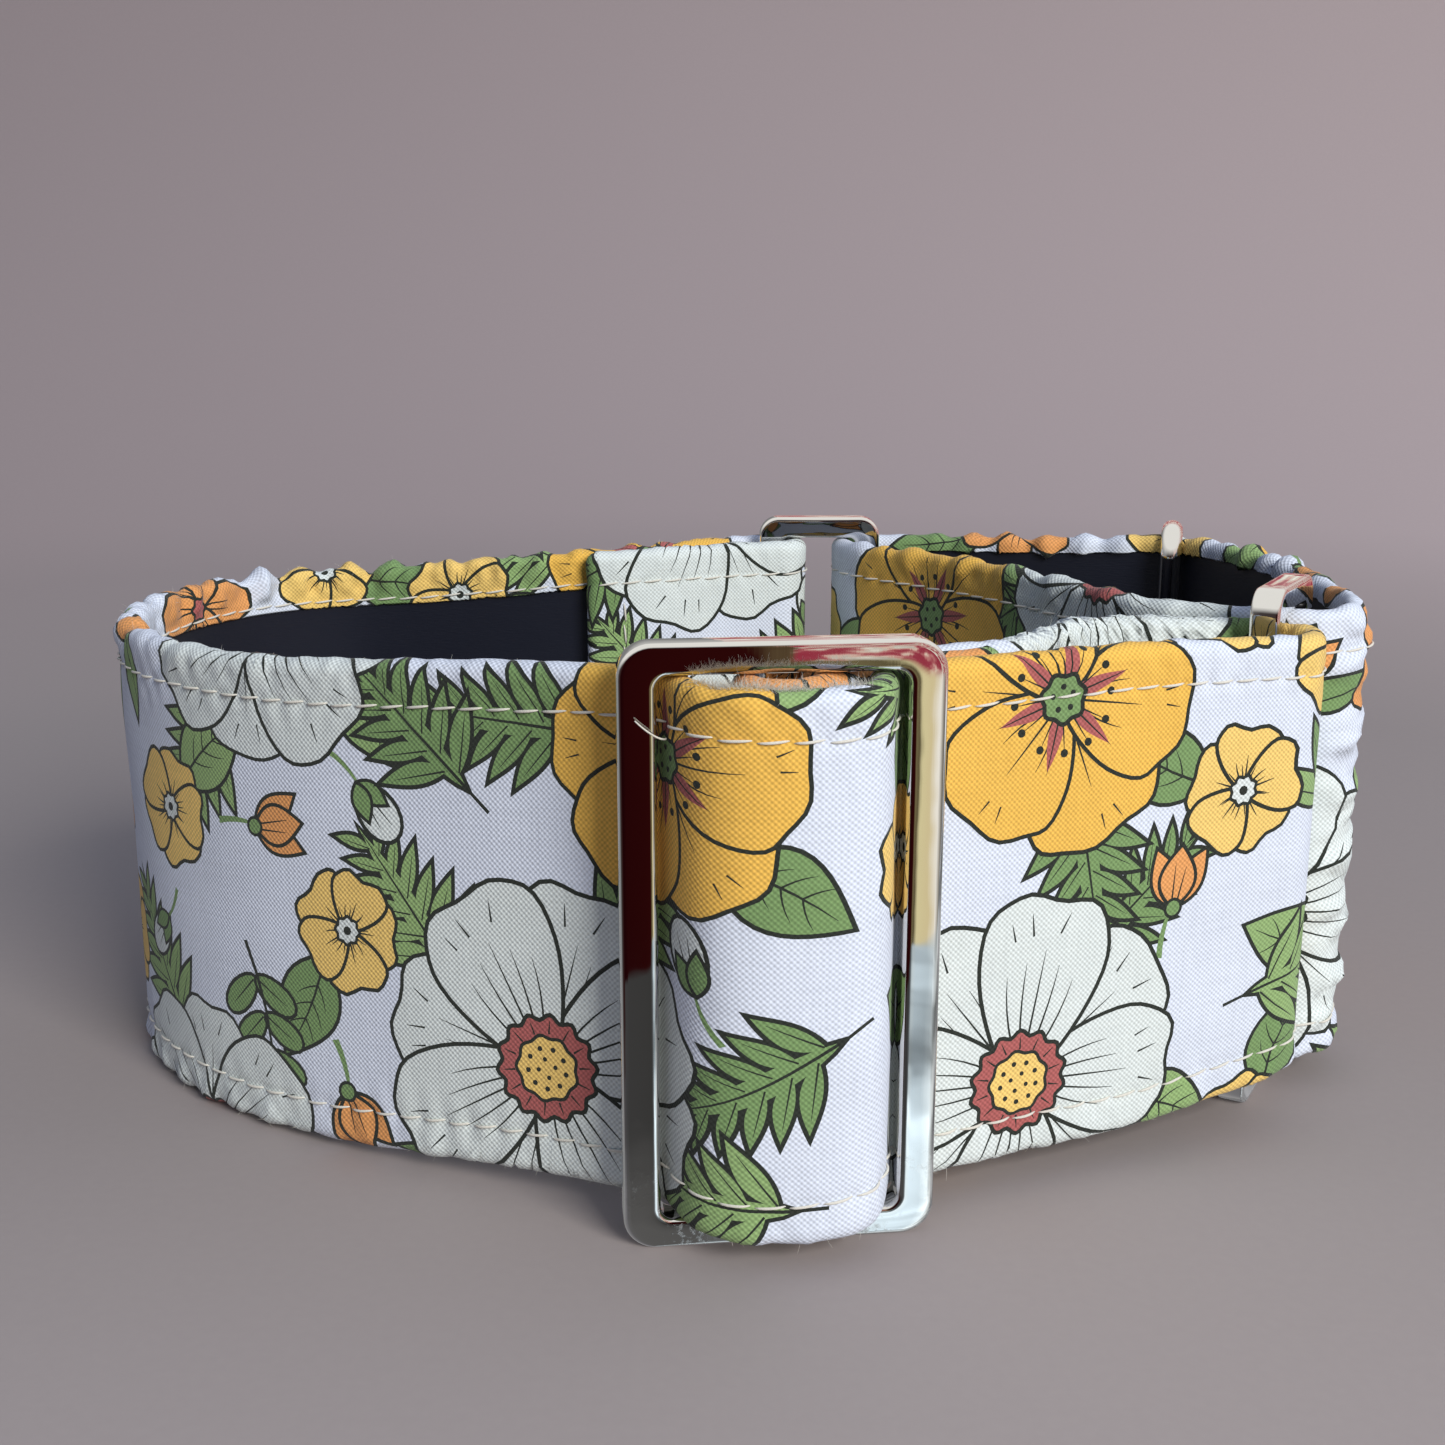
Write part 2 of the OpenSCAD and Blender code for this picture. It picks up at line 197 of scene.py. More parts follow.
class Route:
    """The middle line of a strap, measured by its length from the start."""

    def __init__(self, parts, closed=False, sinks=False):
        parts = linked(parts)
        rows = np.vstack([rows for _, rows in parts])
        if closed:
            rows = np.vstack([rows, rows[0]])
        self.x, self.y = rows[:, 0], rows[:, 1]
        self.turn = np.unwrap(np.radians(rows[:, 2]))
        steps = np.hypot(np.diff(self.x), np.diff(self.y))
        self.s = np.concatenate([[0], np.cumsum(steps)])
        self.length = self.s[-1]
        self.closed = closed
        self.sinks = sinks
        self.marks = {}
        first = 0
        for name, part in parts:
            last = first + len(part) - 1
            self.marks[name] = (self.s[first], self.s[last])
            first = last + 1

    def at(self, u):
        """Plan position, direction in radians and mid-height at the length u."""
        inside = np.mod(u, self.length) if self.closed else np.clip(u, 0, self.length)
        x, y, turn = (np.interp(inside, self.s, f) for f in (self.x, self.y, self.turn))
        past = 0 if self.closed else u - inside
        x, y = x + past * np.cos(turn), y + past * np.sin(turn)
        sink = ease((-x - DROP_START) / DROP_RUN) if self.sinks else 0
        return x, y, turn, MID_Z - LEFT_DROP * sink

    def steps(self, step):
        """Lengths along the route, evenly spaced."""
        count = round(self.length / step) + (not self.closed)
        return np.linspace(0, self.length, count, endpoint=not self.closed)

    def place(self, u, out, up):
        """Points that stand out from the middle line and above mid-height."""
        x, y, turn, mid = self.at(u)
        z = np.maximum(mid + up, ABOVE_FLOOR)
        return np.column_stack([x + out * np.sin(turn), y - out * np.cos(turn), z])


def ease(t):
    t = np.clip(t, 0, 1)
    return t * t * (3 - 2 * t)


def eased(u, stops):
    """Value at u that glides from stop to stop: [(u, value), ...]."""
    at, values = map(np.array, zip(*stops))
    k = np.clip(np.searchsorted(at, u) - 1, 0, len(at) - 2)
    t = ease((u - at[k]) / (at[k + 1] - at[k]))
    return values[k] * (1 - t) + values[k + 1] * t


SLACK = (0.36, 0.36)
BACK_FOLD_SWEEP = 186
FRONT_FOLD_SWEEP = 178
RETURN_MID_IN = 28
RETURN_END_IN = 11.5
LEFT_END = (-67.8, -0.7, -87)
LEFT_BACK = (-45.5, 28.9, 183)
TAB_START = np.array([-17.5, 28.9, 189])


def strap_route():
    back_fold = turn_path(BACK_RING_AT, BACK_FOLD_R, BACK_RUN_TURN - BACK_FOLD_SWEEP, BACK_RUN_TURN)
    left_bar = turn_path(LEFT_BAR_AT, SIDE_BAR_R, LEFT_RUN_TURN, SLIDER_TURN - DIVE_TURN)
    crest = SLIDER_AT + CROSSING_R * along(SLIDER_TURN - 90)
    crest = (crest[0], crest[1], SLIDER_TURN)
    right_bar = turn_path(RIGHT_BAR_AT, SIDE_BAR_R, SLIDER_TURN + DIVE_TURN, FRONT_RUN_TURN)
    front_fold = turn_path(
        FRONT_FOLD_AT, FRONT_FOLD_R + HALF_T, FRONT_RUN_TURN, FRONT_RUN_TURN + FRONT_FOLD_SWEEP)
    return_mid = beside(right_bar[-1], RETURN_MID_IN, RETURN_BOW, 190)
    return_end = beside(right_bar[-1], RETURN_END_IN, 2 * LAYER_PITCH, 180)
    return_bar = turn_path(RIGHT_BAR_AT, RETURN_REACH, FRONT_RUN_TURN + 180, RETURN_TURN)
    wrap = turn_path(SLIDER_AT, WRAP_R, RETURN_TURN, 360 + SLIDER_TURN + SLOT_TURN)
    tail = turn_path(
        RIGHT_BAR_AT, SIDE_BAR_R + LAYER_PITCH, SLIDER_TURN + SLOT_TURN, FRONT_RUN_TURN)
    tab_end = beside(TAB_START, 0, LAYER_PITCH, 180)
    return Route([
        ("tab_end", [tab_end]), ("tab", SLACK), ("back_fold", back_fold),
        ("back_run", SLACK), ("tab_start", [TAB_START]),
        ("back_left", SLACK), ("left_back", [LEFT_BACK]),
        ("left_turn", (0.39, 0.39)), ("left_end", [LEFT_END]),
        ("front_left", (0.34, 0.44)), ("left_bar", left_bar),
        ("rise", (0.4, 0.6)), ("crest", [crest]), ("dive", (0.76, 0.4)), ("right_bar", right_bar),
        ("front_run", SLACK), ("front_fold", front_fold),
        ("return_out", SLACK), ("return_mid", [return_mid]),
        ("return_in", SLACK), ("return_end", [return_end]), ("return_bar", return_bar),
        ("wrap", wrap), ("tail_turn", tail), ("tail", [beside(tail[-1], TAIL_LEN, 0)])],
        sinks=True)


LOOP_INNER_BACK = (27, 21.6, -56)
LOOP_INNER_FRONT = (43.5, -10.4, -66)


def loop_route():
    return Route([
        ("back_fold", turn_path(LOOP_BAR_AT, BACK_FOLD_R, 172, 282)),
        ("inner_back", SLACK), ("inner_back_point", [LOOP_INNER_BACK]),
        ("inner", SLACK), ("inner_front_point", [LOOP_INNER_FRONT]),
        ("inner_front", (0.36, 0.45)),
        ("front_turn", turn_path(FRONT_FAR_BAR_AT, LOOP_TURN_R + HALF_T, -22, 88)),
        ("outer", SLACK), ("d_fold", turn_path(D_RING_AT, D_FOLD_R, 118, 165)),
        ("outer_back", SLACK)], closed=True)


# ---- Smooth noise that repeats over a given length ----


def ripple(u, v, pitch, slant, length, seed):
    """Ripples across the strap, about -1 to 1, with crests that lean by slant."""
    rng = np.random.default_rng(seed)
    total = 0
    for _ in range(6):
        waves = max(1, round(length / pitch * rng.uniform(0.6, 1.6)))
        lean = slant * rng.uniform(-1, 1)
        total = total + np.sin(2 * math.pi * (waves / length * (u + lean * v) + rng.random()))
    return total / 3


# ---- The cotton shell's surface ----
ROLL_R = HALF_T
FLAT_HALF = HALF_W - ROLL_R
ROLL_END = FLAT_HALF + math.pi * ROLL_R
STITCH_IN = 4.2
HEM_W = 4.9
LOOP_HEM_W = 2.0
TUCK_R = 0.22
STITCH_V = HALF_W - STITCH_IN
INNER_STITCH_V = ROLL_END + STITCH_IN - ROLL_R
STITCH_PITCH = 2.9
# Stitched grooves: place across the strap and depth
GROOVES = ((STITCH_V, 0.15), (INNER_STITCH_V, 0.13))
GROOVE_W = 0.55
TUCK_REACH = 3.4
RIM_LIFT = 0.06
# Kinds of waves in the cloth: height, pitch and slant
LUMPS = (0.34, 6.5, 0.5)
PUCKERS = (0.1, 3.1, 0.7)
TUCKS = (0.075, 3.9, 0.8)
FACE_WAVES = (0.14, 24, 0.7)
GATHERS = (0.55, 4.4, 0.5)
GATHER_DEPTH = 0.5
ROPE_H = 0.14
ROPE_PITCH = 1.5


class Shell:
    """Cotton wrapped round a strap: u runs along it and v across, over both edges."""

    def __init__(self, route, seed, hem, looseness, heights, bunched=None, roped=None):
        self.route = route
        self.seed = seed
        self.hem_end = ROLL_END + hem - ROLL_R
        self.half = self.hem_end + math.pi * TUCK_R
        self.end_roll = 0 if route.closed else math.pi * HALF_T
        self.looseness = self.stops(looseness)
        self.heights = [self.stops((name, pair[k]) for name, *pair in heights) for k in (0, 1)]
        self.bunched = bunched
        self.roped = roped

    def stops(self, levels):
        """Levels at the middles of named parts of the route, and again past a closed seam."""
        found = [(sum(self.route.marks[name]) / 2, level) for name, level in levels]
        if self.route.closed:
            first, last = found[0], found[-1]
            found = [(last[0] - self.route.length, last[1]), *found,
                     (first[0] + self.route.length, first[1])]
        return found

    def section(self, v):
        """Outward and upward place on the flat section, and the outward normal."""
        side = np.where(v < 0, -1.0, 1.0)
        a = np.abs(v)
        roll = np.clip((a - FLAT_HALF) / ROLL_R, 0, math.pi)
        tuck = np.clip((a - self.hem_end) / TUCK_R, 0, math.pi)
        hem = np.clip(a - ROLL_END, 0, self.hem_end - ROLL_END)
        out = HALF_T * np.cos(roll) + TUCK_R * (1 - np.cos(tuck))
        up = np.minimum(a, FLAT_HALF) + ROLL_R * np.sin(roll) - hem - TUCK_R * np.sin(tuck)
        turned = roll + tuck
        return out, side * up, np.cos(turned), side * np.sin(turned)

    def leaned(self, u, up):
        """Height above the middle line, with the top and bottom edges' own rises."""
        top, bottom = (eased(np.mod(u, self.route.length), h) for h in self.heights)
        share = 0.5 + up / HALF_W / 2
        return up + top * share + bottom * (1 - share)

    def ends(self, u, out):
        """Where the outer face rolls round a cut end to the inner face."""
        length = self.route.length
        over = np.maximum(-u, u - length) if self.end_roll else np.full_like(u, -1.0)
        angle = np.where(out > 0, np.clip(over / HALF_T, 0, math.pi), 0)
        way = np.where(u < 0, -1.0, 1.0)
        rolled = np.clip(u, 0, length) + way * np.abs(out) * np.sin(angle)
        return np.where(over > 0, rolled, u), out * np.cos(angle)

    def stretch(self, u, span, blur):
        """1 inside a stretch of the route and 0 away from it."""
        if span is None:
            return 0 * u
        return ease((u - span[0]) / blur + 0.5) * ease((span[1] - u) / blur + 0.5)

    def waves(self, kind, u, v, number):
        height, pitch, slant = kind
        return height * ripple(u, v, pitch, slant, self.route.length, self.seed + number)

    def rims(self, u, v, loose):
        """Puckered edges and the small tucks along their stitches, each edge with its own."""
        a = np.abs(v)
        edge = ease((a - STITCH_V - 0.4) / 2.2) * ease((INNER_STITCH_V - 0.3 - a) / 1.6)
        near = np.exp(-((a - STITCH_V) / TUCK_REACH) ** 2) * (a < FLAT_HALF)
        height = np.zeros_like(u)
        for number, half in ((0, v >= 0), (40, v < 0)):
            lumps = self.waves(LUMPS, u, v, number) * loose
            puckers = self.waves(PUCKERS, u, v, number + 1) * (0.2 + 0.8 * loose)
            tucks = self.waves(TUCKS, u, v, number + 2) * (0.6 + 0.4 * loose)
            height = np.where(half, (lumps + puckers + RIM_LIFT) * edge + tucks * near, height)
        phase = 2.5 * ripple(u, v, 9, 1, self.route.length, 1)
        twist = np.sin(2 * math.pi * (u + 0.9 * v) / ROPE_PITCH + phase)
        return height + ROPE_H * self.stretch(u, self.roped, 8) * edge * twist

    def relief(self, u, v):
        """Height of puckers, folds and the stitched grooves above the plain section."""
        a = np.abs(v)
        loose = eased(np.mod(u, self.route.length), self.looseness)
        height = self.rims(u, v, loose)
        dent = 0.75 + 0.25 * np.cos(2 * math.pi * u / STITCH_PITCH)
        for line, depth in GROOVES:
            height = height - depth * dent * np.exp(-((a - line) / GROOVE_W) ** 2)
        height = height + loose * ease((STITCH_V - a) / 6) * self.waves(FACE_WAVES, u, v, 5)
        rise, pitch, slant = GATHERS
        gathers = np.maximum(
            ripple(v, u, pitch, slant, 4 * self.half, self.seed + 6), -GATHER_DEPTH)
        bunch = self.stretch(u, self.bunched, 5) * ease((ROLL_END - a) / 2)
        return height + rise * bunch * gathers

    def points(self, u, v, above=0.0):
        u = np.asarray(u, float)
        v = np.asarray(v, float)
        out, up, normal_out, normal_up = self.section(v)
        height = self.relief(u, v) + above
        u, out = self.ends(u, out + height * normal_out)
        return self.route.place(u, out, self.leaned(u, up + height * normal_up))

    def normals(self, u, v):
        step = 0.05
        du = self.points(u + step, v) - self.points(u - step, v)
        dv = self.points(u, v + step) - self.points(u, v - step)
        n = np.cross(du, dv)
        return n / np.maximum(np.linalg.norm(n, axis=1, keepdims=True), 1e-9)


# ---- Meshes ----


def scene_object(name, data):
    obj = bpy.data.objects.new(name, data)
    bpy.context.scene.collection.objects.link(obj)
    return obj


def new_object(name, verts, faces, smooth=True):
    mesh = bpy.data.meshes.new(name)
    mesh.from_pydata((np.asarray(verts) * MM).tolist(), [], faces)
    mesh.polygons.foreach_set("use_smooth", [smooth] * len(mesh.polygons))
    mesh.update()
    return scene_object(name, mesh)


def grid_faces(rows, cols, wrap_rows=False, wrap_cols=False):
    """Quads of a grid whose points run along cols first."""
    faces = []
    for i in range(rows - (not wrap_rows)):
        for j in range(cols - (not wrap_cols)):
            a, b = i * cols + j, i * cols + (j + 1) % cols
            c, d = ((i + 1) % rows) * cols + (j + 1) % cols, ((i + 1) % rows) * cols + j
            faces.append((a, b, c, d))
    return faces


# ---- Print: coloured shapes that lie on one another in the plane of u and v ----
INK = (0.03, 0.035, 0.028)
GROUND = (0.745, 0.8, 0.9)
CREAM = (0.75, 0.81, 0.78)
GOLD = (0.88, 0.52, 0.1)
PALE_GOLD = (0.92, 0.63, 0.19)
ORANGE = (0.82, 0.37, 0.125)
GREEN = (0.205, 0.33, 0.13)
LIGHT_GREEN = (0.3, 0.45, 0.18)
ROSE = (0.45, 0.13, 0.12)
LINE_W = 0.42


def grown(outline, by):
    """Outline moved outwards by a distance, or inwards if it is negative."""
    ahead = np.roll(outline, -1, axis=0) - outline
    ahead /= np.maximum(np.linalg.norm(ahead, axis=1, keepdims=True), 1e-9)
    normal = np.column_stack([ahead[:, 1], -ahead[:, 0]])
    corner = normal + np.roll(normal, 1, axis=0)
    size = np.linalg.norm(corner, axis=1, keepdims=True)
    corner /= np.maximum(size, 1e-9)
    return outline + by * corner / np.clip(size / 2, 0.4, 1)


def inked(outline, colour, line=LINE_W):
    return [(grown(outline, line / 2), INK), (grown(outline, -line / 2), colour)]


def petal(length, width, swell=0.3, notch=0.0, frill=0.0, points=26, phase=0.0):
    """Rounded petal from the origin along X, wider towards its tip."""
    a = np.linspace(-math.pi, math.pi, points, endpoint=False)
    x = length / 2 * (1 + np.cos(a)) - notch * np.exp(-(a / 0.32) ** 2)
    y = width / 2 * np.sin(a) * (1 + swell * np.cos(a))
    wave = 1 + frill * (np.cos(8 * a + phase) + np.cos(3 * a + 2 * phase)) * x / length
    return np.column_stack([x * wave, y * wave])


def leaf_outline(length, width, belly=0.85, droop=0.0, points=13):
    """Leaf from the origin along X, pointed at both ends."""
    t = np.linspace(0, 1, points)
    half = width / 2 * np.sin(math.pi * t**belly)
    bow = droop * length * t * (1 - t)
    lower = np.column_stack([length * t, bow - half])
    upper = np.column_stack([length * t, bow + half])[-2:0:-1]
    return np.vstack([lower, upper])


def disc(radius, lobes=0, depth=0.0, points=24, at=(0, 0)):
    a = np.linspace(0, 2 * math.pi, points, endpoint=False)
    r = radius * (1 + depth * np.cos(lobes * a))
    return np.column_stack([at[0] + r * np.cos(a), at[1] + r * np.sin(a)])


def dot(radius, x=0, y=0, points=8):
    return disc(radius, points=points, at=(x, y)), INK


def stroke(start, stop, width=0.3, bend=0.0, colour=INK, points=6):
    """Line that is blunt where it starts and runs out to a point."""
    t = np.linspace(0, 1, points)[:, None]
    start, stop = np.array(start, float), np.array(stop, float)
    way = stop - start
    side = np.array([-way[1], way[0]])
    middle = start + way * t + side * bend * 4 * t * (1 - t)
    half = width / 2 * np.sqrt(1 - 0.97 * t) * side / np.linalg.norm(way)
    return [(np.vstack([middle - half, (middle + half)[::-1]]), colour)]


def turned(shapes, turn, size=1.0, at=(0, 0)):
    c, s = along(turn)
    spin = size * np.array([[c, s], [-s, c]])
    return [(outline @ spin + np.array(at), colour) for outline, colour in shapes]


def both_ways(shapes, turn, size=1.0, at=(0, 0)):
    """The same shapes turned one way and then the other."""
    return turned(shapes, turn, size, at) + turned(shapes, -turn, size, at)


def ring_of(count, make, start=0.0):
    """Shapes set round a centre; the odd ones lie on the even ones."""
    shapes = []
    for k in [*range(0, count, 2), *range(1, count, 2)]:
        shapes += turned(make(), start + 360 * k / count)
    return shapes


def grown_ring(rng, count, make, start=0.0):
    """Ring of petals that differ a little in size and direction."""
    return ring_of(count, lambda: turned(
        make(rng.uniform(0, 6)), rng.uniform(-4, 4), rng.uniform(0.93, 1.05)), start)


def veined_petal(outline, colour, reach, lines, spread):
    """Inked petal with fine lines that fan out from its base."""
    shapes = inked(outline, colour)
    for k in range(lines):
        lean = (k - (lines - 1) / 2) / max(1, (lines - 1) / 2)
        far = reach * (1 - 0.22 * abs(lean))
        shapes += stroke((reach * 0.18, lean * spread * 0.12), (far, lean * spread * 0.5),
                         0.26, 0.05 * lean)
    return shapes


def ticks(width, *ends):
    """Short ink lines of one width."""
    return [shape for start, stop in ends for shape in stroke(start, stop, width)]


def cream_blossom(rng):
    """Open blossom with eight broad petals and a rose and gold centre."""
    marks = ticks(0.22, ((13.8, 1.6), (15.9, 2.2)), ((14.2, -1.2), (16.2, -1.9)))
    marks += ticks(0.2, ((13.2, 3.4), (14.8, 4.1)))
    shapes = grown_ring(rng, 8, lambda phase: veined_petal(
        petal(18.5, 12.6, 0.42, 1.0, 0.012, 40, phase), CREAM, 12.6, 5, 7.0) + marks)
    shapes += inked(disc(5.0, 14, 0.06, 84), ROSE)
    shapes += ring_of(14, lambda: stroke((3.4, 0), (4.7, 0), 0.2))
    shapes += inked(disc(3.1, 9, 0.05, 54), PALE_GOLD, 0.34)
    shapes += ring_of(9, lambda: [dot(0.27, 2.0)], 8)
    return shapes + ring_of(4, lambda: [dot(0.24, 0.9)], 30)


def gold_blossom(rng):
    """Six round petals with a dark heart and loose stamens."""
    marks = ticks(0.2, ((11.6, 1.6), (13.2, 2.2)), ((11.9, 0.2), (13.5, 0.1)))
    shapes = grown_ring(rng, 6, lambda phase: veined_petal(
        petal(14.6, 13.8, 0.36, 0.0, 0.02, 44, phase), GOLD, 9.0, 3, 4.8) + marks)
    shapes += ring_of(6, lambda: [(leaf_outline(6.8, 1.5), ROSE)]
                      + stroke((0.5, 0), (7.0, 0), 0.22), 30)
    shapes += ring_of(12, lambda: stroke((1.5, 0), (4.9, 0.3), 0.2) + [dot(0.4, 5.0, 0.3, 9)], 12)
    shapes += inked(disc(2.2, 7, 0.08, 42), GREEN)
    return shapes + ring_of(5, lambda: [dot(0.3, 1.1)])


def small_gold(rng):
    """Primrose with five notched petals."""
    shapes = grown_ring(rng, 5, lambda phase: veined_petal(
        petal(7.0, 7.0, 0.45, 0.8, 0.015, 30, phase), PALE_GOLD, 3.6, 3, 2.6))
    shapes += ring_of(10, lambda: stroke((1.2, 0), (2.7, 0), 0.2), 9)
    shapes += inked(disc(1.45, 8, 0.1, 32), CREAM, 0.34)
    return shapes + [dot(0.5, points=9)]


def orange_blossom(rng):
    """Six slim petals round a rose eye."""
    shapes = grown_ring(rng, 6, lambda phase: veined_petal(
        petal(9.2, 5.2, 0.15, 0.0, 0.015, 28, phase), ORANGE, 6.0, 2, 1.9))
    shapes += inked(disc(1.4, 6, 0.12, 30), ROSE, 0.34)
    return shapes


def orange_cup(rng):
    """Cup-shaped flower seen from its side, on a short stem."""
    shapes = stroke((-5.5, 0.8), (0.8, 0), 0.8, 0.06, GREEN)
    shapes += both_ways(inked(leaf_outline(7.4, 3.6), ORANGE), 26)
    shapes += inked(leaf_outline(7.0, 4.6), ORANGE)
    shapes += stroke((1.0, 0.3), (5.0, 0.5), 0.22)
    shapes += stroke((1.0, -0.4), (4.6, -0.9), 0.22)
    shapes += inked(disc(1.0, points=14), GREEN, 0.34)
    return shapes


def merged(outlines, colour, line=LINE_W):
    """Outlines inked as one shape."""
    return ([(grown(o, line / 2), INK) for o in outlines]
            + [(grown(o, -line / 2), colour) for o in outlines])


def leaf_green(rng):
    return (GREEN, LIGHT_GREEN)[rng.integers(2)]


def broad_leaf(rng, length=13.0, width=7.6):
    colour = leaf_green(rng)
    shapes = inked(leaf_outline(length, width, 0.8, 0.12), colour)
    spine = [(length * t, 0.12 * length * t * (1 - t)) for t in (0.02, 0.86)]
    shapes += stroke(*spine, 0.34, 0.05)
    for t in (0.26, 0.42, 0.58):
        root = (length * t, 0.1 * length * t * (1 - t) + 0.3)
        for side in (-1, 1):
            far = (length * (t + 0.17), root[1] + side * width * 0.3 * math.sin(math.pi * t**0.8))
            shapes += stroke(root, far, 0.2, 0.06 * side)
    return shapes


def slim_leaf(rng):
    length = rng.uniform(11, 15)
    colour = leaf_green(rng)
    shapes = inked(leaf_outline(length, 3.9, 0.9, 0.3), colour)
    shapes += stroke((0.4, 0.1), (length * 0.9, 0.9), 0.26, 0.08)
    return shapes


def fern(rng, pairs=6, reach=19.0):
    """Frond whose slim leaflets grow out of one broad rib."""
    colour = leaf_green(rng)
    outlines, veins = [leaf_outline(reach, 2.8, 0.8)], []
    for k in range(pairs):
        t = 0.12 + 0.68 * k / (pairs - 1)
        size = (1.12 - 0.66 * t) * rng.uniform(0.92, 1.06)
        for side in (-1, 1):
            leaflet = [(leaf_outline(8.2, 2.5, 0.85, -0.16 * side), colour)]
            vein = stroke((0.6, 0), (6.2, -0.1 * side), 0.2)
            place = (side * (58 - 22 * t), size, (reach * (t + 0.03 * side), 0))
            outlines.append(turned(leaflet, *place)[0][0])
            veins += turned(vein, *place)
    return merged(outlines, colour) + veins + stroke((-2.5, 0), (reach * 0.93, 0), 0.36)


def paired_sprig(rng, pairs=4):
    """Curved stem with pairs of oval leaflets and one at its end."""
    colour = leaf_green(rng)
    reach = 4.0 * pairs
    shapes = []
    for k in range(pairs):
        t = (k + 0.6) / pairs
        root = (reach * t, 0.16 * reach * 4 * t * (1 - t) * 0.5)
        size = 1.15 - 0.32 * t
        for side in (-1, 1):
            shapes += turned(inked(petal(5.6, 2.9, 0.1, points=16), colour, 0.36)
                             + stroke((0.4, 0), (4.4, 0), 0.2), side * 52, size, root)
    shapes += turned(inked(petal(5.2, 2.8, 0.1, points=16), colour, 0.36)
                     + stroke((0.4, 0), (4.0, 0), 0.2), -12, 0.9, (reach, 0.2))
    shapes += stroke((-1.5, 0), (reach + 0.8, 0.1), 0.5, 0.08)
    return shapes


def cream_bud(rng):
    shapes = stroke((-5, -0.6), (0.5, 0), 0.6, 0.08, GREEN)
    shapes += inked(petal(6.4, 4.4, 0.05, points=20), CREAM)
    shapes += stroke((1.4, 0.3), (5.0, 0.5), 0.2) + stroke((1.4, -0.3), (4.6, -0.8), 0.2)
    return shapes + both_ways(inked(leaf_outline(4.2, 2.2), GREEN, 0.34), 20, 1, (-0.6, 0))


def leaf_fan(rng):
    """Three slim leaves that spread from one root."""
    return [s for way in (-34, 34, 0) for s in turned(slim_leaf(rng), way + rng.uniform(-6, 6))]


def scattered(rng, span, half, taken, count, gap):
    """Places at least a gap away from all taken ones: [(u, v, gap), ...]."""
    spots = []
    for _ in range(count * 80):
        if len(spots) == count:
            break
        spot = (rng.uniform(*span), rng.uniform(-half, half), gap)
        if all(math.hypot(spot[0] - t[0], spot[1] - t[1]) > gap + t[2] for t in taken + spots):
            spots.append(spot)
    return spots


def floral(shell, seed):
    """The whole print for a shell, lowest shapes first."""
    rng = np.random.default_rng(seed)
    length = shell.route.length
    # Motif, gap round it, number per millimetre, leaves under it, their number and distance
    kinds = [
        (cream_blossom, 17.5, 0.017, (fern, broad_leaf), 4, 15.5),
        (gold_blossom, 13.5, 0.017, (broad_leaf, fern), 3, 12.0),
        (orange_blossom, 8.6, 0.03, (slim_leaf, broad_leaf), 2, 7.0),
        (small_gold, 7.4, 0.045, (broad_leaf,), 1, 5.5),
        (fern, 8.0, 0.04, (), 0, 0),
        (leaf_fan, 7.0, 0.02, (), 0, 0),
        (paired_sprig, 6.2, 0.05, (), 0, 0),
        (orange_cup, 4.8, 0.03, (), 0, 0),
        (cream_bud, 4.2, 0.03, (), 0, 0)]
    span = (-shell.end_roll, length + shell.end_roll)
    taken, leaves, flowers = [], [], []
    for make, gap, share, leaf_kinds, leaf_count, reach in kinds:
        for spot in scattered(rng, span, shell.half, taken, round(length * share), gap):
            taken.append(spot)
            turn = rng.uniform(0, 360)
            flowers.append(turned(make(rng), turn, rng.uniform(0.92, 1.06), spot[:2]))
            first = rng.uniform(0, 360)
            for k in range(leaf_count):
                way = first + 360 * k / leaf_count + rng.uniform(-25, 25)
                root = np.array(spot[:2]) + reach * 0.78 * along(way)
                kind = leaf_kinds[rng.integers(len(leaf_kinds))]
                leaves.append(turned(kind(rng), way + rng.uniform(-22, 22), 1, root))
    shapes = [shape for motif in leaves + flowers[::-1] for shape in motif]
    return [(outline, colour) for outline, colour in shapes
            if outline[:, 0].max() > span[0] + 0.3 and outline[:, 0].min() < span[1] - 0.3
            and abs(outline[:, 1]).min() < shell.half]


def within(points, outline):
    """Which points lie inside a closed outline."""
    a, b = outline, np.roll(outline, -1, axis=0)
    x, y = points[:, :1], points[:, 1:]
    spans = (a[:, 1] > y) != (b[:, 1] > y)
    rise = np.where(b[:, 1] == a[:, 1], 1e-12, b[:, 1] - a[:, 1])
    cuts = a[:, 0] + (y - a[:, 1]) * (b[:, 0] - a[:, 0]) / rise
    return (spans & (x < cuts)).sum(axis=1) % 2 == 1


def top_shapes(centres, shapes):
    """For each point the number of the last shape that covers it, or -1."""
    order = np.argsort(centres[:, 0])
    along_u = centres[order, 0]
    tops = np.full(len(centres), -1)
    for number, (outline, _) in enumerate(shapes):
        low, high = outline.min(axis=0), outline.max(axis=0)
        first, last = np.searchsorted(along_u, (low[0], high[0]))
        near = order[first:last]
        v = centres[near, 1]
        near = near[(v > low[1]) & (v < high[1])]
        tops[near[within(centres[near], outline)]] = number
    return tops


